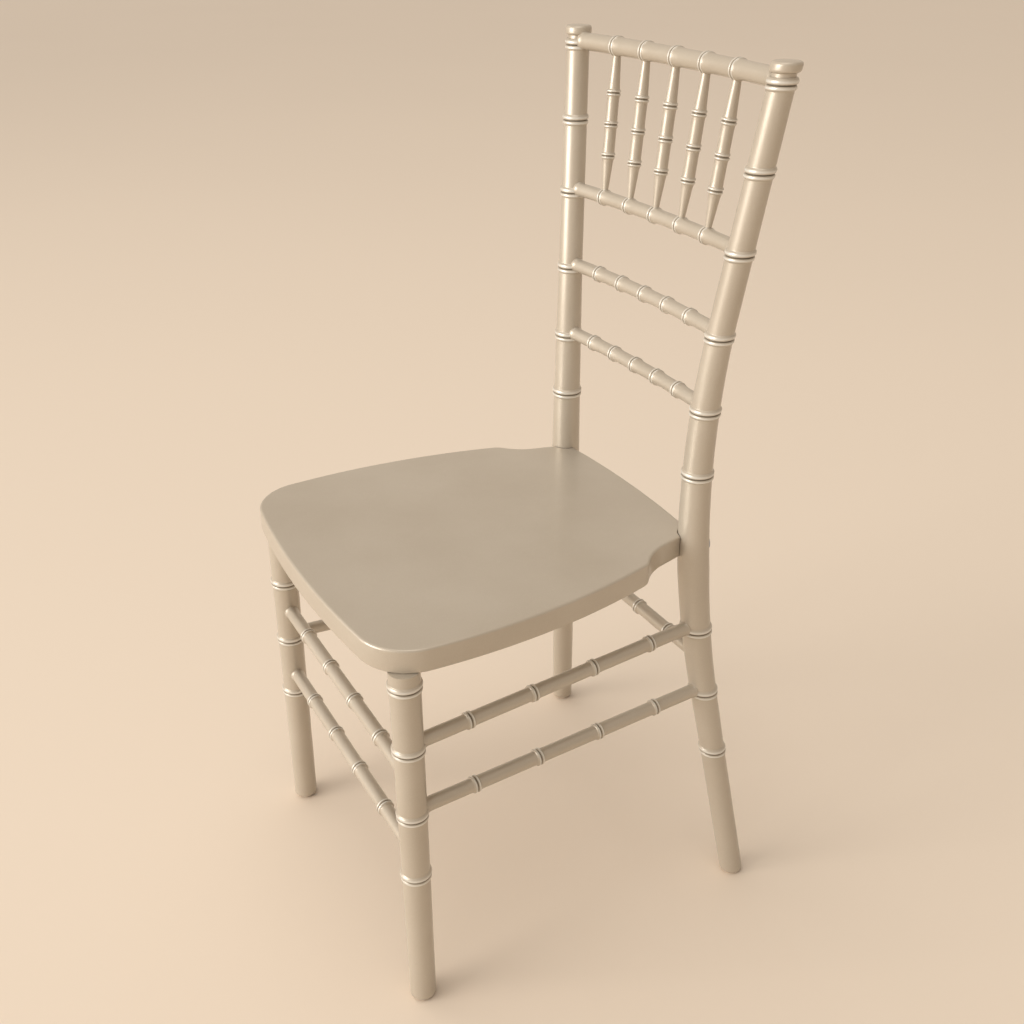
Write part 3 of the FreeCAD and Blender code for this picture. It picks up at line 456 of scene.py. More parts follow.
def double_ring(rings, lower, upper, swell, swell_reach, drop=None, share_before=1):
    """A ring of two beads, placed by its groove, or by how far its upper bead stops short of its place."""
    below = half_width(*lower, rings.groove_rise)
    above = half_width(*upper, rings.groove_rise)
    groove = 0 if drop is None else -above - drop
    beads = ((groove - below, *lower), (groove + above, *upper))
    return Ring(beads, groove, swell, swell_reach, rings, share_before)


def leg_ring(rings):
    small, large = (rings.small_bead, rings.small_rise), (rings.large_bead, rings.large_rise)
    return double_ring(rings, small, large, rings.leg_swell, rings.leg_swell_reach, drop=rings.ring_drop)


def rail_ring(rings):
    bead = rings.rod_bead, rings.rod_rise
    reach, share = rings.rail_swell_reach, rings.rail_swell_left
    return double_ring(rings, bead, bead, rings.rail_swell, reach, share_before=share)


def stretcher_ring(rings):
    bead = rings.rod_bead, rings.rod_rise
    return double_ring(rings, bead, bead, rings.rod_swell, rings.rod_swell_reach)


def spindle_ring(rings):
    bead = rings.spindle_bead, rings.spindle_rise
    return double_ring(rings, bead, bead, rings.rod_swell, rings.rod_swell_reach)


def stations(start, end, details):
    """Places along a rod: wide steps on its plain stretches, narrow ones over each detail."""
    places, here = [], start
    while here < end - FINE_STEP / 2:
        places.append(here)
        detailed = any(low <= here < high for low, high in details)
        ahead = [low for low, _ in details if low > here + FINE_STEP / 2]
        here = min([here + (FINE_STEP if detailed else COARSE_STEP), end] + ahead)
    return places + [end]


def turned_profile(places, radius, ring, middles):
    """Radius at each place along a rod that has a ring at each middle, and its mark of painted light:
    highlight on a crest, shade in a groove.

    The function radius takes a place and the rings' rise there.
    """
    radii, shades = [], []
    for here in places:
        offsets = [here - middle for middle in middles if abs(here - middle) < ring.reach]
        radii.append(radius(here, sum(ring.rise(offset) for offset in offsets)))
        shades.append(sum(ring.shade(offset) for offset in offsets))
    return radii, shades


def end_flare(rings, distance):
    """Extra radius of a rod near the leg that it meets, by its distance from the leg's surface."""
    return rings.end_flare * max(0, 1 - max(0, distance) / rings.end_flare_reach) ** 2


# Nodes, and the tree that turns a path into a rod


def feed(tree, socket, value):
    """Give an input a plain value, or a link from another node's output."""
    if isinstance(value, bpy.types.NodeSocket):
        tree.links.new(value, socket)
    else:
        socket.default_value = value


def add_node(tree, kind, inputs=None, **settings):
    """Add a node with its settings. Each input takes a plain value or another node's output."""
    node = tree.nodes.new(kind)
    for name, value in settings.items():
        setattr(node, name, value)
    for name, value in (inputs or {}).items():
        feed(tree, node.inputs[name], value)
    return node


def turning_tree():
    """Geometry nodes: sweep a round section along a path, with its radius at each point."""
    tree = bpy.data.node_groups.get("turned_rod")
    if tree:
        return tree
    tree = bpy.data.node_groups.new("turned_rod", "GeometryNodeTree")
    for name, kind, description in (
        ("Geometry", "Geometry", "Path of the rod's axis"),
        ("Sides", "Int", "Facets round the rod"),
        ("Unevenness", "Float", "Depth of the sanded unevenness"),
        ("Seed", "Int", "Choice of the unevenness"),
        ("Finish", "Material", "Material of the rod"),
    ):
        socket = tree.interface.new_socket(name=name, in_out="INPUT", socket_type="NodeSocket" + kind)
        socket.description = description
    tree.interface.new_socket(name="Geometry", in_out="OUTPUT", socket_type="NodeSocketGeometry")
    given = add_node(tree, "NodeGroupInput").outputs

    path = add_node(tree, "GeometryNodeMeshToCurve", {"Mesh": given["Geometry"]})
    radius = add_node(tree, "GeometryNodeInputNamedAttribute", {"Name": "rod_radius"}, data_type="FLOAT")
    section = add_node(tree, "GeometryNodeCurvePrimitiveCircle", {"Resolution": given["Sides"], "Radius": 1})
    swept = add_node(tree, "GeometryNodeCurveToMesh", {
        "Curve": path.outputs["Curve"],
        "Profile Curve": section.outputs["Curve"],
        "Scale": radius.outputs["Attribute"],
        "Fill Caps": True,
    })

    grains = {"W": given["Seed"], "Scale": UNEVEN_GRAINS, "Detail": 2}
    noise = add_node(tree, "ShaderNodeTexNoise", grains, noise_dimensions="4D").outputs["Fac"]
    sanded = add_node(tree, "ShaderNodeMath", {0: noise, 1: given["Unevenness"]}, operation="MULTIPLY")
    inward = add_node(tree, "ShaderNodeMath", {0: sanded.outputs["Value"], 1: -1}, operation="MULTIPLY")
    normal = add_node(tree, "GeometryNodeInputNormal").outputs["Normal"]
    offset = add_node(
        tree, "ShaderNodeVectorMath", {"Vector": normal, "Scale": inward.outputs["Value"]}, operation="SCALE",
    )
    moved = add_node(tree, "GeometryNodeSetPosition", {
        "Geometry": swept.outputs["Mesh"], "Offset": offset.outputs["Vector"],
    })
    smooth = add_node(tree, "GeometryNodeSetShadeSmooth", {"Geometry": moved.outputs["Geometry"]})
    real = add_node(tree, "GeometryNodeRealizeInstances", {"Geometry": smooth.outputs["Geometry"]})
    finished = add_node(tree, "GeometryNodeSetMaterial", {
        "Geometry": real.outputs["Geometry"], "Material": given["Finish"],
    })
    add_node(tree, "NodeGroupOutput", {"Geometry": finished.outputs["Geometry"]})
    return tree


def plain_copy(piece):
    """Turn a piece and its modifiers into a plain mesh, in place."""
    bpy.context.view_layer.update()
    depsgraph = bpy.context.evaluated_depsgraph_get()
    mesh = bpy.data.meshes.new_from_object(piece.evaluated_get(depsgraph), depsgraph=depsgraph)
    mesh.name = piece.name
    piece.modifiers.clear()
    piece.data = mesh


def linked(name, data):
    """A new object in the scene."""
    piece = bpy.data.objects.new(name, data)
    bpy.context.scene.collection.objects.link(piece)
    return piece


def meshed(name, shape):
    """A mesh from a finished bmesh, which is freed."""
    mesh = bpy.data.meshes.new(name)
    shape.to_mesh(mesh)
    shape.free()
    return mesh


def stand_for(piece, node):
    """Let a wooden piece stand for its CAD node."""
    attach(piece, "root")
    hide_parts(node)


def turned_piece(context, node, path, radii, shades, seed):
    """A turned piece of wood that stands for a node: its path's points, radii and marks of painted highlight
    and shade.
    """
    rings = context.scene.chair_rings
    mesh = bpy.data.meshes.new(node + "_path")
    mesh.from_pydata(path, [(index, index + 1) for index in range(len(path) - 1)], [])
    for name, values in (("rod_radius", radii), ("ring_shade", shades)):
        mesh.attributes.new(name, "FLOAT", "POINT").data.foreach_set("value", values)
    piece = linked(node + "_turned", mesh)
    tree = turning_tree()
    modifier = piece.modifiers.new("Turning", "NODES")
    modifier.node_group = tree
    inputs = {item.name: item.identifier for item in tree.interface.items_tree if item.in_out == "INPUT"}
    modifier[inputs["Sides"]] = rings.sides
    modifier[inputs["Unevenness"]] = rings.unevenness
    modifier[inputs["Seed"]] = seed
    modifier[inputs["Finish"]] = lacquer(context)
    plain_copy(piece)
    if not piece.data.polygons:
        raise RuntimeError(f"{node} came out without a surface")
    stand_for(piece, node)
    return piece


def straight_rod(context, node, start, end, shoulders, tenon_length, radius, ring, middles, seed):
    """A straight turned rod on the line from start to end, with a tenon beyond each of its two shoulders."""
    sizes, rings = context.scene.chair_sizes, context.scene.chair_rings
    near, far = shoulders
    details = ring.spans(middles)
    details.append((near - FINE_STEP, near + rings.end_flare_reach + sizes.shoulder_inset))
    details.append((far - rings.end_flare_reach - sizes.shoulder_inset, far + FINE_STEP))
    places = stations(near - tenon_length, far + tenon_length, details)
    axis = (end - start).normalized()
    path = [start + axis * here for here in places]
    return turned_piece(context, node, path, *turned_profile(places, radius, ring, middles), seed)


# Finishes


def new_finish(name):
    """A new material, its node tree and its shader's inputs."""
    material = bpy.data.materials.new(name)
    material.use_nodes = True
    tree = material.node_tree
    return material, tree, tree.nodes["Principled BSDF"].inputs


def noise_grains(tree, grains, detail=2.0, roughness=0.5):
    """Noise over a piece's own coordinates, with a number of grains to the metre."""
    noise = add_node(tree, "ShaderNodeTexNoise", {
        "Vector": add_node(tree, "ShaderNodeTexCoord").outputs["Object"],
        "Scale": grains,
        "Detail": detail,
        "Roughness": roughness,
    })
    return noise.outputs["Fac"]


def mapped(tree, value, given, wanted):
    """A value carried from one range to another, and held at its ends."""
    change = add_node(tree, "ShaderNodeMapRange", {
        "Value": value,
        "From Min": given[0],
        "From Max": given[1],
        "To Min": wanted[0],
        "To Max": wanted[1],
    })
    return change.outputs["Result"]


def mixed(tree, share, first, second):
    """Two colours mixed by the second one's share. Each is a node's output or a plain colour."""
    mix = add_node(tree, "ShaderNodeMix", {0: share}, data_type="RGBA", clamp_factor=True)
    for index, value in ((6, first), (7, second)):
        feed(tree, mix.inputs[index], value if isinstance(value, bpy.types.NodeSocket) else (*value, 1))
    return mix.outputs[2]


def bumped(tree, height, strength, distance):
    """A surface normal bumped by a height."""
    bump = add_node(tree, "ShaderNodeBump", {"Height": height, "Strength": strength, "Distance": distance})
    return bump.outputs["Normal"]


def shaded(tint, share):
    """A colour made darker or lighter: each of its parts times a share."""
    return tuple(min(1, share * part) for part in tint)


def lacquer(context):
    """Metallic lacquer: tone drift, fine flake, orange peel, painted shade in the grooves and painted
    highlights on the crests.
    """
    existing = bpy.data.materials.get("champagne_lacquer")
    if existing:
        return existing
    finish = context.scene.chair_finish
    material, tree, shader = new_finish("champagne_lacquer")
    feed(tree, shader["Metallic"], finish.lacquer_metal)
    feed(tree, shader["Coat Weight"], finish.lacquer_coat)
    feed(tree, shader["Coat Roughness"], finish.lacquer_coat_rough)

    drift = mapped(tree, noise_grains(tree, finish.drift_grains, detail=3), (0.35, 0.65), (0, 1))
    tone = mixed(tree, drift, finish.lacquer_deep, finish.lacquer_light)
    flakes = add_node(tree, "ShaderNodeTexVoronoi", {
        "Vector": add_node(tree, "ShaderNodeTexCoord").outputs["Object"], "Scale": finish.flake_grains,
    })
    chance = add_node(tree, "ShaderNodeSeparateColor", {"Color": flakes.outputs["Color"]}).outputs["Red"]
    mark = add_node(tree, "ShaderNodeAttribute", attribute_name="ring_shade").outputs["Fac"]
    # Flakes take a little of the light colour; the ring mark paints shade into the grooves and a highlight
    # onto the crests
    for value, given, strength, over in (
        (chance, (0.55, 1), finish.flake_strength, finish.lacquer_crest),
        (mark, (0, -1), finish.groove_strength, finish.lacquer_groove),
        (mark, (0.2, 1), finish.crest_strength, finish.lacquer_crest),
    ):
        tone = mixed(tree, mapped(tree, value, given, (0, strength)), tone, over)
    feed(tree, shader["Base Color"], tone)

    smear = noise_grains(tree, finish.smear_grains, detail=4, roughness=0.6)
    rough = mapped(tree, smear, (0.3, 0.7), (finish.lacquer_rough_low, finish.lacquer_rough_high))
    feed(tree, shader["Roughness"], rough)
    peel = noise_grains(tree, finish.peel_grains)
    feed(tree, shader["Normal"], bumped(tree, peel, strength=0.15, distance=0.00012))
    return material


def zinc_plating(context):
    """Bright zinc with fine turning marks."""
    zinc = context.scene.chair_finish.zinc
    material, tree, shader = new_finish("zinc_plating")
    cloud = noise_grains(tree, grains=180, detail=3)
    marks = noise_grains(tree, grains=2200)
    feed(tree, shader["Metallic"], 1)
    feed(tree, shader["Base Color"], mixed(tree, cloud, shaded(zinc, share=0.72), zinc))
    feed(tree, shader["Roughness"], mapped(tree, cloud, (0.3, 0.7), (0.28, 0.5)))
    feed(tree, shader["Normal"], bumped(tree, marks, strength=0.3, distance=0.00005))
    return material


def moulded_plastic(context):
    """Matt moulded plastic, scuffed by the floor."""
    glide = context.scene.chair_finish.glide
    material, tree, shader = new_finish("glide_moulding")
    scuff = noise_grains(tree, grains=420, detail=5, roughness=0.7)
    worn = mapped(tree, scuff, (0.5, 0.75), (0, 0.6))
    feed(tree, shader["Base Color"], mixed(tree, worn, glide, shaded(glide, share=0.45)))
    feed(tree, shader["Roughness"], mapped(tree, scuff, (0.3, 0.7), (0.5, 0.75)))
    feed(tree, shader["Normal"], bumped(tree, scuff, strength=0.4, distance=0.0001))
    return material


def keep_node(node, material):
    """Give a carried-over node a better material and leave its shape as it is."""
    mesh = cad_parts[node].data
    if not mesh.materials:
        mesh.materials.append(material)
    for index in range(len(mesh.materials)):
        mesh.materials[index] = material


# Cutting and rounding finished pieces


def bore(start, direction, radius, depth, sides=64):
    """A round cutter from a point along a direction."""
    shape = bmesh.new()
    bmesh.ops.create_cone(shape, cap_ends=True, segments=sides, radius1=radius, radius2=radius, depth=depth)
    turn = direction.to_track_quat("Z", "Y").to_matrix().to_4x4()
    shape.transform(Matrix.Translation(start + direction * depth / 2) @ turn)
    return linked("bore", meshed("bore", shape))


def carve(piece, bores, crease):
    """Cut bores out of a piece, and mark edges that turn by more than the crease angle as sharp."""
    for cutter in bores:
        modifier = piece.modifiers.new("Bore", "BOOLEAN")
        modifier.operation = "DIFFERENCE"
        modifier.solver = "EXACT"
        modifier.object = cutter
    plain_copy(piece)
    for cutter in bores:
        bpy.data.objects.remove(cutter)
    piece.data.set_sharp_from_angle(angle=crease)


def smooth_faces(shape):
    for face in shape.faces:
        face.smooth = True


def round_rim(shape, rim, rounding):
    """Round a rim of edges with a quarter circle."""
    bmesh.ops.bevel(shape, geom=rim, offset=rounding, segments=6, profile=0.5, affect="EDGES")


def level_foot(piece, height, rounding):
    """Cut a leg level at a height and round its lower edge."""
    shape = bmesh.new()
    shape.from_mesh(piece.data)
    everything = shape.verts[:] + shape.edges[:] + shape.faces[:]
    cut = bmesh.ops.bisect_plane(
        shape, geom=everything, plane_co=(0, 0, height), plane_no=(0, 0, -1), clear_outer=True,
    )
    rim = [item for item in cut["geom_cut"] if isinstance(item, bmesh.types.BMEdge)]
    bmesh.ops.contextual_create(shape, geom=rim)
    shape.normal_update()
    round_rim(shape, rim, rounding)
    bmesh.ops.recalc_face_normals(shape, faces=shape.faces)
    smooth_faces(shape)
    shape.to_mesh(piece.data)
    shape.free()


def seat_bolt_line(sizes, side):
    """Where the seat bolt's axis crosses the post's axis, and its direction into the seat."""
    along = Vector((-side * math.sin(sizes.bolt_turn), -math.cos(sizes.bolt_turn), 0))
    return post_point(sizes, seat_middle(sizes), side), along


# Operators, one for each group of pieces


class CHAIR_OT_rear_posts(bpy.types.Operator):
    """Make the two bent rear posts, with their rings and caps"""

    bl_idname = "chair.rear_posts"
    bl_label = "Make Rear Posts"

    def execute(self, context):
        for side in SIDES:
            self.post(context, side)
        return {"FINISHED"}

    def post(self, context, side):
        """A post is turned upright and then bent, so that its rings and cap stay level."""
        sizes = context.scene.chair_sizes
        ring = leg_ring(context.scene.chair_rings)
        top = sizes.top_rail_height
        middle = (sizes.second_rail_height + top) / 2
        heights = shared_ring_heights(sizes) + [
            sizes.waist_ring_height, sizes.fourth_rail_height, sizes.third_rail_height,
            sizes.second_rail_height, middle, top,
        ]
        crest, tube, _ = ring.beads[-1]
        neck_start = top + crest + tube

        def radius(height, rise):
            if height > neck_start:
                return sizes.neck_radius
            return max(sizes.neck_radius, post_radius(sizes, height) + rise)

        low, high = sizes.glide_thickness - sizes.post_foot_radius, top + sizes.neck_length
        places = stations(low, high - FINE_STEP, ring.spans(heights))
        radii, shades = turned_profile(places, radius, ring, heights)
        for along, cap_radius in self.cap_profile(sizes):
            places.append(high + along)
            radii.append(cap_radius)
            shades.append(0)
        x, y, _ = post_point(sizes, sizes.post_upright_height, side)
        path = [Vector((x, y, height)) for height in places]
        piece = turned_piece(context, "rear_post_" + SIDE_NAMES[side], path, radii, shades, POST_SEED + side)
        for vertex in piece.data.vertices:
            vertex.co += post_point(sizes, vertex.co.z, side) - Vector((x, y, vertex.co.z))
        level_foot(piece, sizes.glide_thickness, sizes.foot_rounding)
        start, along = seat_bolt_line(sizes, side)
        surface = post_radius(sizes, start.z)
        under_head = start + along * (sizes.bolt_head_length - surface + sizes.fit_gap)
        recess = bore(under_head, -along, sizes.bolt_head_radius + sizes.fit_gap, 2 * surface)
        carve(piece, [recess], POST_CREASE)

    def cap_profile(self, sizes, edge_steps=6, dome_steps=8, tip=0.2):
        """The rounded cap, as heights over its underside and radii, up to a small flat tip on its dome."""
        rounding, flat = sizes.cap_rounding, sizes.cap_radius - sizes.cap_rounding
        profile = []
        for middle, first in ((rounding, -math.pi / 2), (sizes.cap_thickness - rounding, 0)):
            for step in range(edge_steps + 1):
                turn = first + math.pi / 2 * step / edge_steps
                profile.append((middle + rounding * math.sin(turn), flat + rounding * math.cos(turn)))
        for step in range(1, dome_steps + 1):
            share = 1 - step / (dome_steps + tip)
            profile.append((sizes.cap_thickness + sizes.cap_dome * (1 - share * share), flat * share))
        return profile


class CHAIR_OT_front_legs(bpy.types.Operator):
    """Make the two turned front legs"""

    bl_idname = "chair.front_legs"
    bl_label = "Make Front Legs"

    def execute(self, context):
        sizes = context.scene.chair_sizes
        ring = leg_ring(context.scene.chair_rings)
        heights = shared_ring_heights(sizes) + [sizes.collar_ring_height]
        shoulder = seat_floor(sizes)

        def radius(height, rise):
            return (leg_radius(sizes, height) if height < shoulder else sizes.leg_tenon_radius) + rise

        details = ring.spans(heights) + [(shoulder - 2 * FINE_STEP, shoulder + 2 * FINE_STEP)]
        low = sizes.glide_thickness - sizes.foot_rounding
        places = stations(low, shoulder + sizes.leg_tenon_length, details)
        radii, shades = turned_profile(places, radius, ring, heights)
        for side in SIDES:
            path = [leg_point(sizes, height, side) for height in places]
            node = "front_leg_" + SIDE_NAMES[side]
            piece = turned_piece(context, node, path, radii, shades, LEG_SEED + side)
            level_foot(piece, sizes.glide_thickness, sizes.foot_rounding)
            piece.data.set_sharp_from_angle(angle=LEG_CREASE)
        return {"FINISHED"}


class CHAIR_OT_stretchers(bpy.types.Operator):
    """Make the seven ringed stretchers between the legs"""

    bl_idname = "chair.stretchers"
    bl_label = "Make Stretchers"

    def execute(self, context):
        sizes = context.scene.chair_sizes
        leg, post = (leg_point, leg_radius), (post_point, post_radius)
        for seed, level in enumerate(("upper", "lower")):
            node, height = f"front_stretcher_{level}", getattr(sizes, f"front_{level}_height")
            self.rod(context, node, height, (*leg, -1), (*leg, 1), sizes.front_ring_pitch, seed)
            height = getattr(sizes, f"side_{level}_height")
            for side in SIDES:
                node = f"side_stretcher_{level}_{SIDE_NAMES[side]}"
                ends = (*leg, side), (*post, side)
                self.rod(context, node, height, *ends, sizes.side_ring_pitch, SIDE_SEED + seed + side)
        height, pitch = sizes.rear_stretcher_height, sizes.rear_ring_pitch
        self.rod(context, "rear_stretcher", height, (*post, -1), (*post, 1), pitch, REAR_SEED)
        return {"FINISHED"}

    def rod(self, context, node, height, first, second, pitch, seed):
        """A level stretcher between two legs, each given by its axis, its radius and its side."""
        sizes, rings = context.scene.chair_sizes, context.scene.chair_rings
        start, end = (point(sizes, height, side) for point, _, side in (first, second))
        start_radius, end_radius = (thickness(sizes, height) for _, thickness, _ in (first, second))
        span = (end - start).length
        near, far = start_radius - sizes.shoulder_inset, span - end_radius + sizes.shoulder_inset

        def radius(here, rise):
            if here < near or here > far:
                return sizes.tenon_radius
            to_leg = min(here - start_radius, span - end_radius - here)
            return sizes.stretcher_radius + end_flare(rings, to_leg) + rise

        middles = [span / 2 + step * pitch for step in (-1.5, -0.5, 0.5, 1.5)]
        ring = stretcher_ring(rings)
        straight_rod(context, node, start, end, (near, far), sizes.tenon_length, radius, ring, middles, seed)


def rail_arc(sizes, name):
    """A back rail's height, arc radius, the arc's centre in Y, and the X of its end."""
    height, bow = getattr(sizes, name + "_height"), getattr(sizes, name + "_bow")
    end = post_point(sizes, height)
    arc = (end.x ** 2 + bow ** 2) / (2 * bow)
    return height, arc, end.y + bow - arc, end.x


def rail_point(sizes, name, along):
    """A point on a rail's axis, by its distance along the arc from the middle."""
    height, arc, centre_y, _ = rail_arc(sizes, name)
    turn = along / arc
    return Vector((arc * math.sin(turn), centre_y + arc * math.cos(turn), height))


def rail_nodes(sizes, name):
    """Distances along a rail's arc to its five ringed nodes."""
    arc, pitch = rail_arc(sizes, name)[1], getattr(sizes, name + "_pitch")
    return [arc * math.asin(count * pitch / arc) for count in range(-2, 3)]


class CHAIR_OT_back_rails(bpy.types.Operator):
    """Make the four bowed back rails"""

    bl_idname = "chair.back_rails"
    bl_label = "Make Back Rails"

    def execute(self, context):
        sizes = context.scene.chair_sizes
        self.rail(context, "top_rail", sizes.top_rail_radius, RAIL_SEED)
        for seed, name in enumerate(LOWER_RAILS, start=RAIL_SEED + 1):
            self.rail(context, name, sizes.lower_rail_radius, seed)
        return {"FINISHED"}

    def rail(self, context, name, rod, seed):
        sizes, rings = context.scene.chair_sizes, context.scene.chair_rings
        ring = rail_ring(rings)
        height, arc, _, end_x = rail_arc(sizes, name)
        surface = arc * math.asin(end_x / arc) - post_radius(sizes, height)
        shoulder = surface + sizes.shoulder_inset
        last = shoulder + sizes.tenon_length

        def radius(along, rise):
            if abs(along) >= shoulder:
                return sizes.tenon_radius
            return rod + end_flare(rings, surface - abs(along)) + rise

        middles = rail_nodes(sizes, name)
        flare = surface - rings.end_flare_reach
        details = ring.spans(middles) + [(-shoulder - FINE_STEP, -flare), (flare, shoulder + FINE_STEP)]
        places = stations(-last, last, details)
        path = [rail_point(sizes, name, along) for along in places]
        turned_piece(context, name, path, *turned_profile(places, radius, ring, middles), seed)


class CHAIR_OT_spindles(bpy.types.Operator):
    """Make the five turned spindles of the back"""

    bl_idname = "chair.spindles"
    bl_label = "Make Spindles"

    def execute(self, context):
        sizes = context.scene.chair_sizes
        ring = spindle_ring(context.scene.chair_rings)
        feet, tops = rail_nodes(sizes, "second_rail"), rail_nodes(sizes, "top_rail")
        for count, (foot_along, top_along) in enumerate(zip(feet, tops), start=1):
            foot, top = rail_point(sizes, "second_rail", foot_along), rail_point(sizes, "top_rail", top_along)
            low, high = sizes.lower_rail_radius, (top - foot).length - sizes.top_rail_radius
            ends = low - sizes.spindle_seat_depth, high + sizes.spindle_seat_depth
            middle, pitch = (low + high) / 2, sizes.spindle_ring_share * (high - low)
            middles = [middle + step * pitch for step in (-1, 0, 1)]
            taper = (
                (ends[0], sizes.spindle_foot_radius), (low, sizes.spindle_foot_radius),
                (middles[0], sizes.spindle_radius), (middles[2], sizes.spindle_radius),
                (high, sizes.spindle_top_radius), (ends[1], sizes.spindle_top_radius),
            )

            def radius(here, rise):
                return ramp(here, taper) + rise

            node, seed = f"spindle_{count}", SPINDLE_SEED + count
            straight_rod(context, node, foot, top, ends, 0, radius, ring, middles, seed)
        return {"FINISHED"}


def heading_vector(turn):
    return Vector((math.cos(turn), math.sin(turn)))


def before_arc(end, end_heading, radius, turn, side):
    """Where an arc starts that arrives at a point, turning left for side 1 and right for side -1."""
    chord = 2 * radius * math.sin(turn / 2)
    return end - heading_vector(end_heading - side * turn / 2) * chord


def arc_points(start, end, radius):
    """Points along an arc that bulges to the right of start to end, or left where the radius is negative."""
    if not radius:
        return [start]
    chord = end - start
    inward = Vector((-chord.y, chord.x)).normalized() * math.copysign(1, radius)
    centre = (start + end) / 2 + inward * math.sqrt(radius * radius - chord.length_squared / 4)
    turn = 2 * math.asin(chord.length / (2 * abs(radius))) * math.copysign(1, radius)
    count = max(3, math.ceil(abs(turn * radius) / max(ARC_STEP, abs(radius) * ARC_TURN)))
    spoke = start - centre
    return [centre + Matrix.Rotation(turn * index / count, 2) @ spoke for index in range(count)]


def seat_outline(sizes):
    """Points round the seat board, anticlockwise from above, from the right end of the front edge."""
    post = post_point(sizes, seat_middle(sizes))
    ear_end = Vector((post.x - sizes.ear_inset, post.y))
    ear = ear_end - heading_vector(sizes.ear_heading) * sizes.ear_length
    throat = before_arc(ear, sizes.ear_heading, sizes.throat_radius, sizes.throat_turn, -1)
    heading = sizes.ear_heading + sizes.throat_turn
    shoulder = before_arc(throat, heading, sizes.shoulder_radius, sizes.shoulder_turn, 1)
    heading -= sizes.shoulder_turn

    front_end = Vector((sizes.seat_corner_start_x, sizes.seat_front_y + sizes.seat_front_bow))
    front = (front_end.x ** 2 + sizes.seat_front_bow ** 2) / (2 * sizes.seat_front_bow)
    corner = sizes.seat_corner_radius
    corner_centre = front_end + heading_vector(math.pi / 2 + math.asin(front_end.x / front)) * corner
    inward = heading_vector(heading + math.pi / 2)
    across = shoulder - corner_centre
    side = (across.length_squared - corner ** 2) / (2 * (-across.dot(inward) - corner))
    side_centre = shoulder + inward * side
    side_start = corner_centre + (corner_centre - side_centre).normalized() * corner
    rear = (ear_end.x ** 2 + sizes.seat_rear_bow ** 2) / (2 * sizes.seat_rear_bow)

    corners = [front_end, side_start, shoulder, throat, ear, ear_end]
    radii = [corner, side, sizes.shoulder_radius, -sizes.throat_radius, 0, rear]
    corners += [Vector((-point.x, point.y)) for point in reversed(corners)]
    radii += radii[4::-1] + [front]
    outline = []
    for index, (start, radius) in enumerate(zip(corners, radii)):
        outline += arc_points(start, corners[(index + 1) % len(corners)], radius)
    return outline


class CHAIR_OT_seat_board(bpy.types.Operator):
    """Make the shaped seat board"""

    bl_idname = "chair.seat_board"
    bl_label = "Make Seat Board"

    def execute(self, context):
        sizes = context.scene.chair_sizes
        floor = seat_floor(sizes)
        shape = bmesh.new()
        bottom = shape.faces.new([shape.verts.new((*point, floor)) for point in seat_outline(sizes)])
        grown = bmesh.ops.extrude_face_region(shape, geom=[bottom])
        raised = [item for item in grown["geom"] if isinstance(item, bmesh.types.BMVert)]
        bmesh.ops.translate(shape, verts=raised, vec=(0, 0, sizes.seat_thickness))
        bmesh.ops.recalc_face_normals(shape, faces=shape.faces)
        self.round_edge(shape, sizes.seat_height, sizes.seat_top_rounding)
        self.round_edge(shape, floor, sizes.seat_bottom_rounding)
        smooth_faces(shape)
        piece = linked("seat_board_shaped", meshed("seat_board_shaped", shape))
        piece.data.materials.append(lacquer(context))
        carve(piece, self.bores(sizes), SEAT_CREASE)
        stand_for(piece, "seat_board")
        return {"FINISHED"}

    def level_face(self, shape, height):
        """The large level face at a height."""
        level = [face for face in shape.faces if all(abs(v.co.z - height) < LEVEL for v in face.verts)]
        return max(level, key=lambda face: len(face.verts))

    def round_edge(self, shape, height, rounding):
        """Round the edge round one level face, with a narrow flat border inside it."""
        round_rim(shape, self.level_face(shape, height).edges[:], rounding)
        level = self.level_face(shape, height)
        bmesh.ops.inset_region(shape, faces=[level], thickness=rounding / 2, depth=0)

    def bores(self, sizes):
        """The notch round each post and the bore for each cross nut."""
        middle = seat_middle(sizes)
        lean, splay = post_lean(sizes, middle), sizes.post_splay
        radius = post_radius(sizes, middle)
        half_notch = 1.5 * sizes.seat_thickness
        to_nut = sizes.bolt_head_length - radius + sizes.bolt_length - sizes.nut_radius - sizes.bolt_past_nut
        cutters = []
        for side in SIDES:
            start, along = seat_bolt_line(sizes, side)
            across = Vector((side * math.cos(splay), math.sin(splay), 0)) * math.sin(lean)
            up = across + Vector((0, 0, math.cos(lean)))
            notch_radius = radius + 2 * sizes.fit_gap
            cutters.append(bore(start - up * half_notch, up, notch_radius, 2 * half_notch, sides=128))
            nut = start + along * to_nut
            nut.z = seat_floor(sizes) - sizes.seat_thickness
            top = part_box("cross_nut_" + SIDE_NAMES[side])[1].z + sizes.fit_gap
            cutters.append(bore(nut, Vector((0, 0, 1)), sizes.nut_radius + sizes.fit_gap, top - nut.z))
        return cutters


class CHAIR_OT_fixings(bpy.types.Operator):
    """Finish the seat bolts, cross nuts and glides"""

    bl_idname = "chair.fixings"
    bl_label = "Finish Bolts and Glides"

    def execute(self, context):
        zinc, plastic = zinc_plating(context), moulded_plastic(context)
        for side in SIDE_NAMES.values():
            keep_node("seat_bolt_" + side, zinc)
            keep_node("cross_nut_" + side, zinc)
            keep_node("front_glide_" + side, plastic)
            keep_node("rear_glide_" + side, plastic)
        return {"FINISHED"}


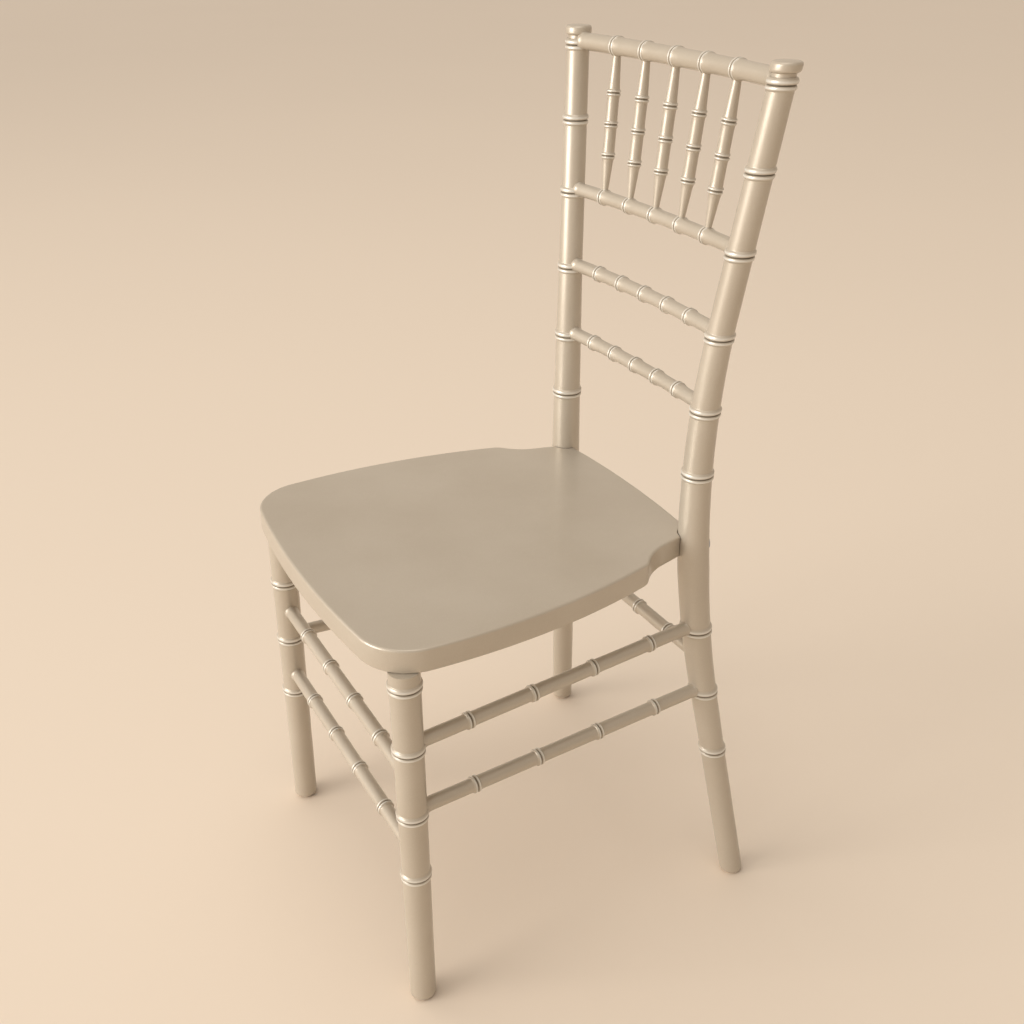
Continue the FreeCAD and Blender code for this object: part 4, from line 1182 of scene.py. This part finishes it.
class CHAIR_OT_stage(bpy.types.Operator):
    """Set the floor, the lamps and the camera"""

    bl_idname = "chair.stage"
    bl_label = "Set Stage"

    def execute(self, context):
        scene, look = context.scene, context.scene.studio_look
        scene.view_settings.view_transform = "Standard"
        self.floor(look)
        self.world(scene, look)
        self.lamp("key", look, look.key_place, look.key_size, look.key_power, look.key_spread)
        self.lamp("overhead", look, look.top_place, look.top_size, look.top_power)
        self.camera(scene, look)
        return {"FINISHED"}

    def floor(self, look, radius=30, sides=96):
        """A wide round floor with a faint unevenness of tone."""
        shape = bmesh.new()
        bmesh.ops.create_circle(shape, cap_ends=True, segments=sides, radius=radius)
        mesh = meshed("studio_floor", shape)
        material, tree, shader = new_finish("seamless_paper")
        drift = noise_grains(tree, grains=0.7, detail=1)
        feed(tree, shader["Roughness"], 0.85)
        feed(tree, shader["Specular IOR Level"], 0.1)
        paper = look.floor_colour
        feed(tree, shader["Base Color"], mixed(tree, drift, paper, shaded(paper, share=1.02)))
        mesh.materials.append(material)
        linked("studio_floor", mesh)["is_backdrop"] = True

    def world(self, scene, look):
        """Soft light, stronger from the left, and a plain backdrop for the camera and reflections."""
        world = bpy.data.worlds.new("studio")
        world.use_nodes = True
        tree = world.node_tree
        to_left = (-math.cos(look.camera_azimuth), -math.sin(look.camera_azimuth), 0)
        heading = add_node(tree, "ShaderNodeTexCoord").outputs["Generated"]
        left = add_node(tree, "ShaderNodeVectorMath", {0: heading, 1: to_left}, operation="DOT_PRODUCT")
        weak, strong = (look.fill_strength * (1 + sign * look.fill_tilt) for sign in (-1, 1))
        fill = tree.nodes["Background"]
        feed(tree, fill.inputs["Color"], (*look.fill_colour, 1))
        feed(tree, fill.inputs["Strength"], mapped(tree, left.outputs["Value"], (-1, 1), (weak, strong)))
        backdrop = add_node(tree, "ShaderNodeBackground", {"Color": (*look.backdrop_colour, 1)})
        rays = add_node(tree, "ShaderNodeLightPath").outputs
        seen = rays["Is Camera Ray"]
        for kind in ("Is Glossy Ray", "Is Transmission Ray"):
            either = add_node(tree, "ShaderNodeMath", {0: seen, 1: rays[kind]}, operation="MAXIMUM")
            seen = either.outputs["Value"]
        mix = add_node(tree, "ShaderNodeMixShader", {
            "Fac": seen, 1: fill.outputs["Background"], 2: backdrop.outputs["Background"],
        })
        feed(tree, tree.nodes["World Output"].inputs["Surface"], mix.outputs["Shader"])
        scene.world = world

    def lamp(self, name, look, at, side, watts, spread=math.pi):
        """A square lamp that faces a point and doesn't show in the picture."""
        data = bpy.data.lights.new(name, "AREA")
        data.shape = "SQUARE"
        data.size = side
        data.energy = watts
        data.color = look.key_colour
        data.spread = spread
        lamp = linked(name, data)
        lamp.location = at
        lamp.rotation_euler = (Vector(look.aim) - Vector(at)).to_track_quat("-Z", "Y").to_euler()
        lamp.visible_camera = False

    def camera(self, scene, look):
        """The camera at the picture's place, heading and lens."""
        data = bpy.data.cameras.new("picture_camera")
        data.sensor_width = 36
        data.lens = look.camera_lens
        data.clip_start = 0.05
        data.clip_end = 100
        camera = linked("picture_camera", data)
        turn, rise, roll = look.camera_azimuth, look.camera_elevation, look.camera_roll
        back = Vector((math.sin(turn) * math.cos(rise), -math.cos(turn) * math.cos(rise), math.sin(rise)))
        right = Vector((math.cos(turn), math.sin(turn), 0))
        up = back.cross(right)
        axes = (
            right * math.cos(roll) + up * math.sin(roll), up * math.cos(roll) - right * math.sin(roll), back,
        )
        matrix = Matrix([list(axis) for axis in axes]).transposed().to_4x4()
        camera.matrix_world = Matrix.Translation(look.camera_place) @ matrix
        scene.camera = camera


class CHAIR_PT_panel(bpy.types.Panel):
    """Chair pieces, sizes and finishes"""

    bl_idname = "CHAIR_PT_panel"
    bl_label = "Chiavari Chair"
    bl_space_type = "VIEW_3D"
    bl_region_type = "UI"
    bl_category = "Chair"

    def draw(self, context):
        layout = self.layout
        for operator in OPERATORS:
            layout.operator(operator.bl_idname)
        for title, pointer, _ in SETTINGS:
            box = layout.box()
            box.label(text=title)
            group = getattr(context.scene, pointer)
            for name in group.__annotations__:
                box.prop(group, name)


OPERATORS = (
    CHAIR_OT_rear_posts, CHAIR_OT_front_legs, CHAIR_OT_stretchers, CHAIR_OT_back_rails, CHAIR_OT_spindles,
    CHAIR_OT_seat_board, CHAIR_OT_fixings, CHAIR_OT_stage,
)
SETTINGS = (
    ("Sizes", "chair_sizes", ChairSizes),
    ("Rings", "chair_rings", ChairRings),
    ("Finish", "chair_finish", ChairFinish),
    ("Studio", "studio_look", StudioLook),
)
CLASSES = tuple(group for _, _, group in SETTINGS) + OPERATORS + (CHAIR_PT_panel,)


def register():
    for item in CLASSES:
        bpy.utils.register_class(item)
    for _, pointer, group in SETTINGS:
        setattr(bpy.types.Scene, pointer, bpy.props.PointerProperty(type=group))


def unregister():
    for _, pointer, _ in SETTINGS:
        delattr(bpy.types.Scene, pointer)
    for item in reversed(CLASSES):
        bpy.utils.unregister_class(item)


def main():
    """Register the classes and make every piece."""
    register()
    for operator in OPERATORS:
        family, action = operator.bl_idname.split(".")
        getattr(getattr(bpy.ops, family), action)()
    boxes = {"cad": CAD_BOX, "visual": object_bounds()}
    {name: [list(corner) for corner in corners] for name, corners in boxes.items()}


if __name__ == "__main__":
    main()
